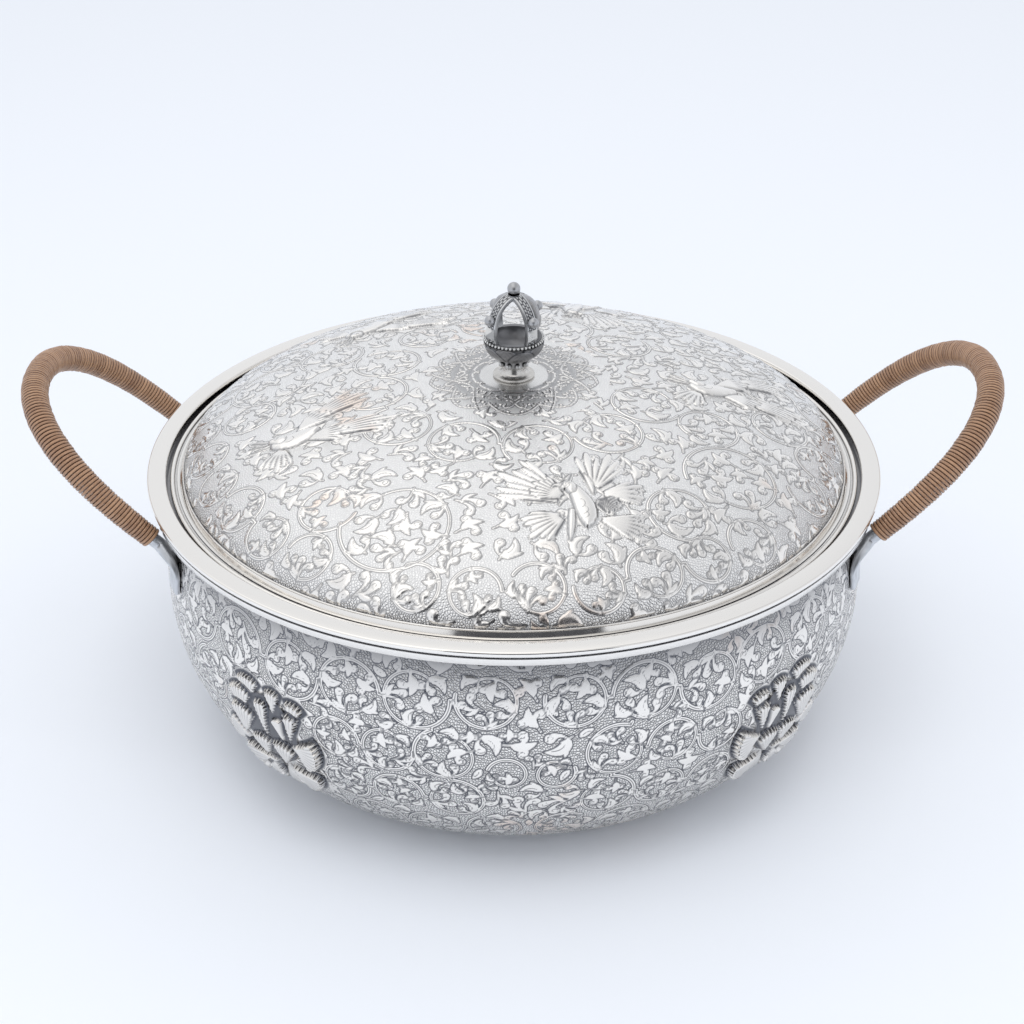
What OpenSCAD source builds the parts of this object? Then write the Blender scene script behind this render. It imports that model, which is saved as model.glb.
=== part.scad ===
// Lidded serving bowl: a round sheet-metal bowl with a grooved rim ring, a domed
// lift-off lid, an openwork crown knob and two loop handles wound with cane.
// Millimetres, +Z up, the origin at the middle of the base, the handles along X.

/* [Bowl] */
// Radius of the flat base
bowl_base_r = 71.1; // [60:0.1:80]
// Radius of the belly, where the bowl is widest
bowl_belly_r = 116.2; // [113:0.1:124]
// Height of the belly above the table
bowl_belly_z = 55; // [48:0.5:60]
// Radius of the neck under the rim
bowl_neck_r = 112; // [104:0.1:113]
// Height of the sheet, up to the underside of the rim
bowl_h = 88.6; // [80:0.1:100]
// Thickness of the bowl's sheet
bowl_wall = 1.2; // [1:0.1:2]

/* [Rim] */
// Height of the rim ring
rim_h = 4.9; // [4.3:0.1:7]
// Width of the rim ring outside the lid's recess
rim_band_w = 6.1; // [5:0.1:8]
// Width of the ledge that the lid rests on
rim_seat_w = 4.1; // [3:0.1:6]
// Depth of the ledge below the top of the rim
rim_seat_depth = 3.4; // [2.4:0.1:3.8]
// How far the ledge reaches in past the bowl's sheet
rim_lap = 1; // [0.4:0.1:2]
// Depth of the fine groove round the outside
rim_groove_d = 0.5; // [0.2:0.1:1]

/* [Lid] */
// Clearance between the lid's edge and its recess
lid_clear = 1.2; // [0.4:0.1:2]
// Width of the plain flange outside the dome
lid_band_w = 4.5; // [3.5:0.1:8]
// Thickness of the flange
lid_flange_t = 1.3; // [1:0.1:2]
// Width of the flange inside the foot of the dome
lid_lap = 1.4; // [1:0.1:3]
// Radius of the wire bead at the lid's edge
lid_bead_r = 0.75; // [0.4:0.05:1]
// Height of the dome above the flange
dome_h = 28.9; // [20:0.1:40]
// Thickness of the dome's sheet
dome_wall = 1; // [0.8:0.1:2]
// Fullness of the dome's curve, where 2 is an ellipse
dome_power = 1.93; // [1.8:0.01:2.4]

/* [Raised ornament] */
// Turn of the peonies from the front and from the back, in degrees
peony_turn = 41.7; // [34:0.1:50]
// Distance of a peony's middle below the belly, along the wall
peony_drop = 10.2; // [6:0.1:14]
// Radius of the ring on which the outer petals sit
peony_r = 12.2; // [9:0.1:15]
// Petals in the outer ring of a peony
peony_petals = 8; // [6:1:10]
// Radius of an outer petal
petal_r = 6.4; // [5:0.1:8]
// Height of the outer petals' middles above the wall
petal_rise = 1.4; // [0.8:0.1:2]
// Distance of the birds from the middle of the lid
bird_r = 71; // [60:0.5:78]
// Length of a bird's longest feathers
feather_l = 17; // [12:0.5:22]
// Width of a feather
feather_w = 4.2; // [3:0.1:6]
// Height of the feathers above the dome
feather_rise = 1.2; // [0.6:0.1:2]
// Radius of a bird's body
bird_body_r = 3.4; // [2.5:0.1:5]

/* [Crown knob] */
// Radius of the plain seat that the knob stands on
knob_seat_r = 10.5; // [8:0.1:16]
// Radius of the knob's foot
foot_r = 6.8; // [6.2:0.1:7.8]
// Height of the knob's foot
foot_h = 3.9; // [3.6:0.1:7]
// Radius of the neck above the foot
neck_r = 3.9; // [3.4:0.1:4.4]
// Beads round the collar
collar_beads = 9; // [6:1:11]
// Diameter of a collar bead
collar_bead_d = 1.8; // [1.2:0.1:2]
// Height of the collar
collar_h = 2.6; // [2.2:0.1:4]
// Radius of the crown's cup at its edge
crown_r = 9.9; // [8.5:0.1:12]
// Height of the cup that is the crown's lower half
cup_h = 7.5; // [6:0.1:10]
// Thickness of the cup and the arches
crown_wall = 1.1; // [0.8:0.1:1.6]
// Beads round the cup's edge
cup_beads = 48; // [24:1:54]
// Diameter of a bead on the cup's edge
cup_bead_d = 0.9; // [0.6:0.05:1]
// Arches of the crown
arches = 4; // [3:1:5]
// Height of the arches above the cup
arch_h = 14.3; // [12:0.1:20]
// Width of an arch
arch_w = 3.8; // [3:0.1:4.8]
// Height above the cup where the arches bulge most
arch_bulge_z = 3.6; // [2:0.1:5]
// Turn of the first arch from the front, in degrees
arch_turn = 38; // [0:1:90]
// Diameter of the pearl on each arch
pearl_d = 3.4; // [2.4:0.1:4]
// Height of the pearls above the cup
pearl_z = 7.7; // [6.6:0.1:8.4]
// Width of the cut stud at the foot of each arch
stone_w = 3.8; // [2.5:0.1:4.2]
// Height of the cut studs above the cup
stone_z = 3.2; // [2.8:0.1:3.6]
// Diameter of the ball on top
ball_d = 4.2; // [3:0.1:6]

/* [Knob fixing] */
// Diameter of the stud that holds the knob
stud_d = 4; // [3:0.1:5]
// Depth that the stud enters the foot
stud_depth = 3; // [2:0.1:3.4]
// Width of the nut across its flats
nut_w = 7; // [6.5:0.1:9]
// Height of the nut
nut_h = 2.4; // [1.6:0.1:4]
// Diameter of the washer under the nut
washer_d = 10; // [8:0.1:14]
// Thickness of the washer
washer_t = 0.8; // [0.5:0.1:1.5]
// Length of stud past the nut
stud_tail = 1; // [0.5:0.1:3]

/* [Handles] */
// Tilt of each loop above the table, in degrees
handle_tilt = 44.2; // [35:0.1:60]
// Reach of the loop from its ends to its far side
handle_reach = 59.4; // [50:0.1:75]
// Half the distance between the two ends of a loop
handle_half_span = 39.9; // [32:0.1:46]
// Depth of the loop's ends below the underside of the rim
handle_drop = 8.9; // [6:0.1:12]
// Clearance between the wound handle and the edge of the rim
handle_rim_gap = 2.9; // [1.5:0.1:6]
// Outer diameter of the winding at the middle of the loop
wrap_d = 8.7; // [8:0.1:11]
// Outer diameter of the winding at its ends
wrap_end_d = 7; // [6.4:0.1:8]
// Bare rod from a loop's end to the winding
wrap_start = 4.5; // [3:0.1:10]
// Turns of cane on each handle
wrap_turns = 45; // [20:1:48]
// Width of the cane strip
cane_w = 2.5; // [1:0.1:2.6]
// Thickness of the cane strip
cane_t = 1.1; // [0.8:0.1:1.4]
// Turn of the soldered tabs from the handle's middle, in degrees
tab_turn = 22; // [16:0.5:28]
// Width of a tab
tab_w = 8.5; // [6:0.1:12]
// Thickness of a tab
tab_t = 1.7; // [1.2:0.1:2.4]
// Height of a tab below its bend
tab_h = 10; // [7:0.5:14]
// Drop from the loop's ends to the bend
tab_bend_drop = 2.7; // [1.5:0.1:4]

/* [Fits] */
// Clearance between a wound or soldered piece and what carries it
seat_gap = 0.2; // [0.1:0.05:0.3]
// Clearance round the stud
stud_gap = 0.1; // [0.05:0.05:0.3]

/* [Hidden] */
$fn = 120;

silver = "silver";
oxidised = "dimgray";
cane = "sienna";

// How far a cut reaches past the face that it opens
over = 1;

// The rim's rounded edges, its foot set in under the band, and the groove between them
rim_edge_r = 0.6;
rim_foot_in = 1;
rim_foot_flare = 0.4;
rim_band_in = 0.3;
rim_groove_h = 0.7;
rim_groove_slope = 0.1;
rim_groove_share = 0.48;

// The groove inside the lid's bead, and how far the bead's middle lies below the flange's top
lid_groove_w = 0.8;
lid_groove_d = 0.3;
lid_bead_drop = 0.2;

// Radii that follow one another from the bowl's neck out to the rim
mouth_r = bowl_neck_r - bowl_wall - rim_lap;
recess_r = mouth_r + rim_seat_w;
rim_r = recess_r + rim_band_w;
rim_top_z = bowl_h + rim_h;
seat_z = rim_top_z - rim_seat_depth;

// The lid sits on the ledge, and the dome on the flange
flange_r = recess_r - lid_clear;
dome_r = flange_r - lid_band_w;
dome_z = seat_z + lid_flange_t;
dome_inner_r = dome_r - dome_wall;
dome_inner_h = dome_h - dome_wall;

// The ornament's middle line lies a little to the right of the front
pattern_turn = 1.7;
front_turn = -90 + pattern_turn;

// Petals lean up at their tips, and the inner ring stands on the outer one
petal_lean = 13;
petal_root = 3;
inner_share = 0.68;
inner_petals = 5;
inner_ring_share = 0.48;
inner_lift_share = 0.75;
petal_teeth = 3;
tooth_turn = 38;
tooth_share = 0.38;
petal_foot_share = 0.78;
heart_share = 0.62;

// Turn of each bird from the front, and the way it flies from straight outwards
bird_ways = [[13, 191], [-69, -13], [89, 148], [162, 200], [-134, 20]];
wing_feathers = 5;
wing_start = 44;
wing_step = 22;
wing_shrink = 0.07;
tail_feathers = 3;
tail_step = 20;
head_out_share = 0.31;
head_share = 0.8;
feather_root = 2;
slope_step = 0.5;

// Heights of the knob's pieces, each on the one below
foot_z = dome_z + dome_rise(knob_seat_r, dome_r, dome_h);
collar_z = foot_z + foot_h;
cup_z = collar_z + collar_h;
arch_z = cup_z + cup_h;
hub_z = arch_z + arch_h;
hub_r = 1.9;
foot_lip_h = 1.1;
collar_turn = 7;
sill_w = 0.4;
ball_sink = 0.25;
stone_rise = stone_w * 0.62;
stone_root = 1.2;
pearl_stand = pearl_d * 0.28;

// The arches bulge to nearly the cup's own radius, and the bead ring goes round their feet
arch_inset = 0.45 * cup_bead_d;
arch_bulge_r = crown_r - arch_inset;
arch_half_h = (arch_h - arch_bulge_z) / sqrt(1 - pow(hub_r / arch_bulge_r, 2));
bead_seat_h = cup_bead_d + seat_gap;
bead_ring_w = 0.28 * cup_bead_d;
bead_step_r = arch_r(0, 0) + seat_gap / 4;
bead_ring_r = bead_step_r + seat_gap / 2 + bead_ring_w;

// Underside of the dome at the stud, where the washer bears
washer_margin = 1;
under_seat_r = washer_d / 2 + washer_margin;
under_z = dome_z + dome_rise(under_seat_r, dome_inner_r, dome_inner_h);
stud_low_z = under_z - washer_t - nut_h - stud_tail;
stud_top_z = foot_z + stud_depth;

// Places on the loop of a handle
root_z = bowl_h - handle_drop;
root_r = rim_r + handle_rim_gap + wrap_end_d / 2;
root_x = sqrt(root_r * root_r - handle_half_span * handle_half_span) - handle_drop / tan(handle_tilt);
loop_out = [cos(handle_tilt), 0, sin(handle_tilt)];
loop_normal = [-sin(handle_tilt), 0, cos(handle_tilt)];
span_power = 2.19;
reach_power = 2.83;
loop_steps = 360;
bend_join = 2;

// The winding: eight rings of six sides to a turn
wrap_rings = 8;
chord_sink = 1 - cos(180 / wrap_rings);

// Points on an arc in the plane, from one angle to another
function arc(centre, radius, from, to, steps) =
    [for (i = [0 : steps])
        let (a = from + (to - from) * i / steps)
        centre + radius * [cos(a), sin(a)]];

// Height of a dome's curve above its foot, at a distance from its middle
function dome_rise(r, radius, height) =
    height * pow(1 - pow(r / radius, dome_power), 1 / dome_power);

// Outline of a dome from its foot in to a flat top of the radius given
function dome_curve(radius, height, flat_r, steps) =
    let (last = acos(pow(flat_r / radius, dome_power / 2)))
    [for (i = [0 : steps])
        let (a = last * i / steps)
        [radius * pow(cos(a), 2 / dome_power), height * pow(sin(a), 2 / dome_power)]];

// Radius of the outside of the bowl's wall above its belly
function wall_r(z) =
    bowl_belly_r - (bowl_belly_r - bowl_neck_r) * pow((z - bowl_belly_z) / (bowl_h - bowl_belly_z), 2);

// Outline of the bowl from the edge of its base up to its neck, set in by a wall
function bowl_curve(inset) = concat(
    [for (a = [0 : 6 : 90])
        [bowl_base_r + (bowl_belly_r - bowl_base_r - inset) * sin(a),
         bowl_belly_z - (bowl_belly_z - inset) * cos(a)]],
    [for (i = [1 : 8])
        let (z = bowl_belly_z + (bowl_h - bowl_belly_z) * i / 8)
        [wall_r(z) - inset, z]]);

// Radius of the crown's arches at a height above the cup, set in from their outside
function arch_r(z, inset) =
    (arch_bulge_r - inset) * sqrt(1 - pow((z - arch_bulge_z) / (arch_half_h - inset), 2));

// Radius, height and upward lean of the wall at a distance up along it from the belly
function wall_place(up) = up < 0
    ? let (a = 90 + up / bowl_belly_z * 180 / PI, swell = bowl_belly_r - bowl_base_r)
      [bowl_base_r + swell * sin(a), bowl_belly_z * (1 - cos(a)), -atan(swell * cos(a) / (bowl_belly_z * sin(a)))]
    : let (z = bowl_belly_z + up)
      [wall_r(z), z, atan(2 * (bowl_belly_r - bowl_neck_r) * up / pow(bowl_h - bowl_belly_z, 2))];

// Sets a shape on the wall: its Z points out of the sheet, its X runs round and its Y runs up
module on_wall(across, up) {
    place = wall_place(up);
    rotate([0, 0, across / bowl_belly_r * 180 / PI])
    translate([place[0], 0, place[1]])
    rotate([0, -place[2], 0])
    rotate([90, 0, 90])
    children();
}

// A toothed petal with its tip along X, leaning up, its middle at the height given
module petal(radius, rise) {
    rotate([0, -petal_lean, 0])
    translate([0, 0, -petal_root])
    linear_extrude(petal_root + rise) {
        circle(radius * petal_foot_share);
        for (k = [0 : petal_teeth - 1])
            rotate(tooth_turn * (k - (petal_teeth - 1) / 2))
            translate([radius * (1 - tooth_share), 0])
            circle(radius * tooth_share);
    }
}

// A ring of petals about the middle of a peony
module petal_ring(ring_r, count, start, radius, rise) {
    for (k = [0 : count - 1]) {
        a = start + 360 * k / count;
        on_wall(ring_r * cos(a), ring_r * sin(a) - peony_drop)
        rotate([0, 0, a])
        petal(radius, rise);
    }
}

module peony() {
    petal_ring(peony_r, peony_petals, 0, petal_r, petal_rise);
    petal_ring(peony_r * inner_ring_share, inner_petals, 90, petal_r * inner_share,
               petal_rise * (1 + inner_lift_share));
    on_wall(0, -peony_drop)
    sphere(r = petal_r * heart_share);
}

// The sheet with its peonies, which are raised on the outside only
module bowl_shell() {
    color(silver)
    difference() {
        union() {
            rotate_extrude()
            polygon(concat([[0, 0]], bowl_curve(0), [[0, bowl_h]]));
            for (back = [0, 180], side = [-1, 1])
                rotate([0, 0, front_turn + back + side * peony_turn])
                peony();
        }
        rotate_extrude()
        polygon(concat([[0, bowl_wall]], bowl_curve(bowl_wall),
                       [[bowl_neck_r - bowl_wall, bowl_h + over], [0, bowl_h + over]]));
    }
}

// A list turned end for end
function reverse(list) = [for (i = [len(list) - 1 : -1 : 0]) list[i]];

module rim_ring() {
    foot_low_r = rim_r - rim_foot_in;
    foot_top_r = foot_low_r + rim_foot_flare;
    groove_r = foot_top_r - rim_groove_d;
    groove_z = bowl_h + rim_h * rim_groove_share;
    groove_top_z = groove_z + rim_groove_h;
    color(silver)
    rotate_extrude()
    polygon(concat(
        [[mouth_r, bowl_h], [foot_low_r, bowl_h], [foot_top_r, groove_z],
         [groove_r, groove_z + rim_groove_slope], [groove_r, groove_top_z],
         [rim_r - rim_band_in, groove_top_z + rim_groove_slope]],
        arc([rim_r - rim_edge_r, rim_top_z - rim_edge_r], rim_edge_r, 0, 90, 5),
        arc([recess_r + rim_edge_r, rim_top_z - rim_edge_r], rim_edge_r, 90, 180, 5),
        [[recess_r, seat_z], [mouth_r, seat_z]]));
}

// Sets a shape on the dome at a place in plan: its Z points out of the sheet, its X along the heading
module on_dome(place, heading) {
    r = norm(place);
    turn = atan2(place[1], place[0]);
    fall = dome_rise(r - slope_step, dome_r, dome_h) - dome_rise(r + slope_step, dome_r, dome_h);
    rotate([0, 0, turn])
    translate([r, 0, dome_z + dome_rise(r, dome_r, dome_h)])
    rotate([0, atan(fall / (2 * slope_step)), 0])
    rotate([0, 0, heading - turn])
    children();
}

// A feather of the length given, from a bird's middle along the heading
module feather(middle, heading, length) {
    on_dome(middle + [cos(heading), sin(heading)] * length / 2, heading)
    translate([-length / 2, 0, -feather_root])
    linear_extrude(feather_root + feather_rise) {
        translate([0, -feather_w / 2])
        square([length - feather_w / 2, feather_w]);
        translate([length - feather_w / 2, 0])
        circle(feather_w / 2);
    }
}

// A flying bird seen from above: wings, tail, body and head
module bird(middle, heading) {
    for (side = [-1, 1], k = [0 : wing_feathers - 1])
        feather(middle, heading + side * (wing_start + wing_step * k), feather_l * (1 - wing_shrink * k));
    for (k = [0 : tail_feathers - 1])
        feather(middle, heading + 180 + tail_step * (k - (tail_feathers - 1) / 2), feather_l);
    on_dome(middle, heading)
    translate([feather_l * head_out_share, 0, 0])
    sphere(r = bird_body_r * head_share);
    on_dome(middle, heading)
    sphere(r = bird_body_r);
}

// The dome with its birds, which are raised on the outside only
module lid_dome() {
    under_rise = dome_rise(under_seat_r, dome_inner_r, dome_inner_h);
    color(silver)
    difference() {
        union() {
            rotate_extrude()
            translate([0, dome_z])
            polygon(concat([[0, 0]], dome_curve(dome_r, dome_h, knob_seat_r, 26),
                           [[0, dome_rise(knob_seat_r, dome_r, dome_h)]]));
            for (way = bird_ways)
                bird(bird_r * [cos(front_turn + way[0]), sin(front_turn + way[0])], front_turn + way[0] + way[1]);
        }
        rotate_extrude()
        translate([0, dome_z])
        polygon(concat([[0, -over], [dome_inner_r, -over]],
                       dome_curve(dome_inner_r, dome_inner_h, under_seat_r, 26),
                       [[0, under_rise]]));
        translate([0, 0, dome_z])
        cylinder(d = stud_d + 2 * stud_gap, h = dome_h + over);
    }
}

module lid_flange() {
    bead_middle = [flange_r - lid_bead_r, dome_z - lid_bead_drop];
    groove_r = flange_r - 2 * lid_bead_r;
    color(silver)
    rotate_extrude()
    polygon(concat(
        [[dome_inner_r - lid_lap, seat_z], [flange_r, seat_z]],
        arc(bead_middle, lid_bead_r, 0, 180, 10),
        [[groove_r, dome_z - lid_groove_d], [groove_r - lid_groove_w, dome_z - lid_groove_d],
         [groove_r - lid_groove_w, dome_z], [dome_inner_r - lid_lap, dome_z]]));
}

module knob_foot() {
    lip = foot_lip_h / 2;
    color(silver)
    difference() {
        rotate_extrude()
        polygon(concat(
            [[0, foot_z]],
            arc([foot_r - lip, foot_z + lip], lip, -90, 90, 8),
            [for (i = [0 : 8])
                let (a = 90 * i / 8)
                [neck_r + (foot_r - 2 * lip - neck_r) * (1 - sin(a)),
                 foot_z + foot_lip_h + (foot_h - foot_lip_h) * (1 - cos(a))]],
            [[0, collar_z]]));
        translate([0, 0, foot_z - over])
        cylinder(d = stud_d + 2 * stud_gap, h = over + stud_depth + stud_gap);
    }
}

module knob_bead_collar() {
    ring_r = neck_r + collar_bead_d / 3;
    color(oxidised)
    union() {
        translate([0, 0, collar_z])
        cylinder(r = neck_r, h = collar_h);
        for (i = [0 : collar_beads - 1])
            rotate(i * 360 / collar_beads + collar_turn)
            translate([ring_r, 0, collar_z + collar_bead_d / 2])
            sphere(d = collar_bead_d, $fn = 48);
    }
}

// The leaf-shaped cup is the crown's lower half, with a step that carries the beads
module knob_cup() {
    inner_r = arch_r(0, crown_wall) - sill_w;
    color(oxidised)
    rotate_extrude()
    polygon(concat(
        [[0, cup_z]],
        [for (i = [0 : 12])
            let (a = 90 * i / 12)
            [neck_r + (crown_r - neck_r) * sin(a),
             cup_z + (cup_h - bead_seat_h) * (1 - cos(a))]],
        [[bead_step_r, arch_z - bead_seat_h], [bead_step_r, arch_z], [inner_r, arch_z]],
        [for (i = [1 : 12])
            let (a = 90 * i / 12)
            [inner_r * cos(a), arch_z - (cup_h - 2 * crown_wall) * sin(a)]]));
}

module knob_cup_beads() {
    bead_z = arch_z - seat_gap / 2 - cup_bead_d / 2;
    color(silver)
    union() {
        translate([0, 0, arch_z - bead_seat_h])
        rotate_extrude()
        translate([bead_ring_r - bead_ring_w, 0])
        square([bead_ring_w, bead_seat_h - seat_gap]);
        for (i = [0 : cup_beads - 1])
            rotate(i * 360 / cup_beads)
            translate([bead_ring_r + cup_bead_d / 4, 0, bead_z])
            sphere(d = cup_bead_d, $fn = 24);
    }
}

// Outline of the crown's upper half, set in from its outside
module arch_half(inset) {
    steps = 16;
    rise = arch_h - inset;
    polygon(concat(
        [[0, 0]],
        [for (i = [0 : steps])
            let (z = rise * sin(90 * i / steps))
            [arch_r(z, inset), z]],
        [[0, rise]]));
}

// The crown's upper half as bands of even width that meet in the hub
module knob_arches() {
    color(oxidised)
    translate([0, 0, arch_z])
    intersection() {
        difference() {
            rotate_extrude()
            arch_half(0);
            translate([0, 0, -seat_gap / 20])
            rotate_extrude()
            arch_half(crown_wall);
        }
        union() {
            on_each_arch()
            translate([0, -arch_w / 2, -over])
            cube([2 * crown_r, arch_w, arch_h + 2 * over]);
        }
    }
}

// Places a shape on each arch, its X axis pointing out from the crown
module on_each_arch() {
    for (i = [0 : arches - 1])
        rotate(arch_turn - 90 + i * 360 / arches)
        children();
}

// The solid that the crown's fittings are hollowed to sit on
module arch_seat() {
    rotate_extrude()
    arch_half(-seat_gap);
}

module knob_arch_pearls() {
    color(silver)
    translate([0, 0, arch_z])
    difference() {
        on_each_arch()
        translate([arch_r(pearl_z, 0) + pearl_stand, 0, pearl_z])
        sphere(d = pearl_d, $fn = 48);
        arch_seat();
    }
}

// A four-sided cut stud, its point outwards
module cut_stone() {
    intersection() {
        rotate([0, 0, 90])
        rotate([90, 0, 0])
        translate([0, 0, -stone_root])
        linear_extrude(height = stone_root + stone_rise)
        square(stone_w, center = true);
        rotate([90, 0, 0])
        stone_wedge();
        stone_wedge();
    }
}

// A bar with two slopes that meet in a ridge, seen along its length
module stone_wedge() {
    half = stone_w / 2;
    linear_extrude(height = 2 * stone_w, center = true)
    polygon([[-stone_root, -half], [0, -half], [stone_rise, 0], [0, half], [-stone_root, half]]);
}

module knob_arch_studs() {
    color(silver)
    translate([0, 0, arch_z])
    difference() {
        on_each_arch()
        translate([arch_r(stone_z, 0), 0, stone_z])
        cut_stone();
        arch_seat();
    }
}

module knob_top_ball() {
    color(oxidised)
    difference() {
        translate([0, 0, hub_z + ball_d / 2 - ball_sink])
        sphere(d = ball_d, $fn = 64);
        translate([0, 0, hub_z - ball_d])
        cylinder(d = ball_d, h = ball_d);
    }
}

module knob_stud() {
    color(silver)
    translate([0, 0, stud_low_z])
    cylinder(d = stud_d, h = stud_top_z - stud_low_z);
}

module knob_washer() {
    color(silver)
    translate([0, 0, under_z - washer_t])
    difference() {
        cylinder(d = washer_d, h = washer_t);
        translate([0, 0, -over])
        cylinder(d = stud_d + 2 * stud_gap, h = washer_t + 2 * over);
    }
}

module knob_nut() {
    color(silver)
    translate([0, 0, under_z - washer_t - nut_h])
    difference() {
        cylinder(d = nut_w / cos(30), h = nut_h, $fn = 6);
        translate([0, 0, -over])
        cylinder(d = stud_d + 2 * stud_gap, h = nut_h + 2 * over);
    }
}

// A direction of length one
function unit(v) = v / norm(v);

// A power that keeps the sign of its base
function signed_pow(x, p) = sign(x) * pow(abs(x), p);

// A point on the loop, where the angle runs from one end to the other
function loop_point(a) =
    [root_x, 0, root_z]
    + loop_out * handle_reach * pow(max(cos(a), 0), 2 / reach_power)
    + [0, handle_half_span * signed_pow(sin(a), 2 / span_power), 0];

loop_points = [for (i = [0 : loop_steps]) loop_point(-90 + 180 * i / loop_steps)];
loop_lengths = [for (i = 0, s = 0; i <= loop_steps;
    s = s + (i < loop_steps ? norm(loop_points[i + 1] - loop_points[i]) : 0), i = i + 1) s];
loop_length = loop_lengths[loop_steps];
loop_tables = [for (k = [0 : 2]) [for (i = [0 : loop_steps]) [loop_lengths[i], loop_points[i][k]]]];

// The point, the run and the sideways direction at a distance along the loop
function along(s) = [for (k = [0 : 2]) lookup(s, loop_tables[k])];
run_step = 0.5;
function run(s) = unit(along(s + run_step) - along(s - run_step));
function sideways(s) = unit(cross(loop_normal, run(s)));

// Share of the way between the winding's ends, and its outer radius there
wrap_length = loop_length - 2 * wrap_start;
function wrap_share(s) = (s - wrap_start) / wrap_length;
function wrap_r(s) =
    let (h = min(max(wrap_share(s), 0), 1))
    (wrap_end_d + (wrap_d - wrap_end_d) * 4 * h * (1 - h)) / 2;

// Radius of the middle of the cane, and of the rod inside it
function cane_r(s) = wrap_r(s) - cane_t / 2;
function rod_r(s) = cane_r(s) * (1 - chord_sink) - cane_t / 2 - seat_gap;

// A tab's middle line on the wall, at a height
tab_way = [cos(tab_turn), -sin(tab_turn), 0];
tab_side = [sin(tab_turn), cos(tab_turn), 0];
function tab_point(z) = tab_way * (wall_r(z) + seat_gap + tab_t / 2) + [0, 0, z];

// One section of the rod: place, sideways direction, half sizes and squareness
tab_bend_z = root_z - tab_bend_drop;
tab_low_z = tab_bend_z - tab_h;
bend_share = 0.47;
tab_top_z = tab_bend_z - bend_share * tab_h;
tab_steps = 4;
bend_steps = 8;
rod_steps = 64;
tab_square = 6;
function bend_point(t) =
    tab_point(tab_top_z) * (1 - t) * (1 - t) + tab_point(tab_bend_z) * 2 * t * (1 - t) + along(bend_join) * t * t;
front_end = concat(
    [for (i = [0 : tab_steps - 1])
        let (z = tab_low_z + (tab_top_z - tab_low_z) * i / tab_steps)
        [tab_point(z), tab_side, tab_w / 2, tab_t / 2, tab_square]],
    [for (i = [0 : bend_steps - 1])
        let (t = i / bend_steps)
        let (r = rod_r(wrap_start))
        [bend_point(t), tab_side * (1 - t) + sideways(bend_join) * t,
         tab_w / 2 * (1 - t) + r * t, tab_t / 2 * (1 - t) + r * t, tab_square * (1 - t) + 2 * t]]);
loop_part = [for (i = [0 : rod_steps])
    let (s = bend_join + (loop_length - 2 * bend_join) * i / rod_steps)
    [along(s), sideways(s), rod_r(s), rod_r(s), 2]];
function mirrored(v) = [v[0], -v[1], v[2]];
back_end = [for (i = [len(front_end) - 1 : -1 : 0])
    let (f = front_end[i])
    [mirrored(f[0]), -mirrored(f[1]), f[2], f[3], f[4]]];
rod = concat(front_end, loop_part, back_end);

// The points of one section, with the rod's run taken from its neighbours
rod_sides = 12;
function rod_section(i) =
    let (way = unit(rod[min(i + 1, len(rod) - 1)][0] - rod[max(i - 1, 0)][0]))
    let (thick = unit(cross(way, rod[i][1])))
    let (wide = cross(thick, way))
    let (p = 2 / rod[i][4])
    [for (k = [0 : rod_sides - 1])
        let (a = 360 * (k + 0.5) / rod_sides)
        rod[i][0] + wide * rod[i][2] * signed_pow(cos(a), p) + thick * rod[i][3] * signed_pow(sin(a), p)];

// A closed skin of triangles over rings of points
module skin(rings) {
    sides = len(rings[0]);
    last = (len(rings) - 1) * sides;
    polyhedron(
        points = [for (ring = rings) each ring],
        faces = concat(
            [for (i = [0 : len(rings) - 2]) for (k = [0 : sides - 1])
                let (a = i * sides + k)
                let (b = i * sides + (k + 1) % sides)
                each [[a, a + sides, b], [b, a + sides, b + sides]]],
            [for (k = [1 : sides - 2]) [0, k, k + 1]],
            [for (k = [1 : sides - 2]) [last, last + k + 1, last + k]]));
}

module handle_core() {
    color(silver)
    skin([for (i = [0 : len(rod) - 1]) rod_section(i)]);
}

// The winding: a flat strip of cane in one unbroken helix round the rod
wrap_end_gap = 0.1;
wrap_inset = cane_w / 2 + wrap_end_gap;
function wrap_s(q) = wrap_start + wrap_inset + (wrap_length - 2 * wrap_inset) * q / wrap_turns;
function wrap_out(q) = sideways(wrap_s(q)) * cos(360 * q) + loop_normal * sin(360 * q);
function wrap_point(q) = along(wrap_s(q)) + wrap_out(q) * cane_r(wrap_s(q));

// The strip's section: six corners, flat inside and out, pointed at its two edges
cane_flat = 0.6;
cane_corners = [[-1, 0], [-cane_flat, 1], [cane_flat, 1], [1, 0], [cane_flat, -1], [-cane_flat, -1]];
function cane_ring(centre, along_rod, out) = [for (corner = cane_corners)
    centre + along_rod * corner[0] * cane_w / 2 + out * corner[1] * cane_t / 2];
function wrap_ring(q) = cane_ring(wrap_point(q), run(wrap_s(q)), wrap_out(q));
function shifted(ring, by) = [for (p = ring) p + by];
wrap_first = wrap_ring(0);
wrap_last = wrap_ring(wrap_turns);
wrap_end_run = unit(cross(run(wrap_s(0)), wrap_out(0))) * cane_t;
wrap_tail_run = unit(cross(run(wrap_s(wrap_turns)), wrap_out(wrap_turns))) * cane_t;
wrap_body = [for (i = [0 : wrap_turns * wrap_rings]) wrap_ring(i / wrap_rings)];
wrap_skin = concat([shifted(wrap_first, wrap_end_run)], wrap_body, [shifted(wrap_last, -wrap_tail_run)]);

// Least gap between one turn of the cane and the next, on the points of their rings
wrap_gap = min([for (i = [0 : len(wrap_body) - wrap_rings - 2]) for (j = [-1 : 1])
    for (p = wrap_body[i]) for (q = wrap_body[min(i + wrap_rings + j, len(wrap_body) - 1)]) norm(p - q)]);
echo(least_gap_between_turns_of_cane = wrap_gap);

module handle_wrap() {
    color(cane)
    skin(wrap_skin);
}

module handle_right_core() { handle_core(); }

module handle_left_core() { mirror([1, 0, 0]) handle_core(); }

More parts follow.
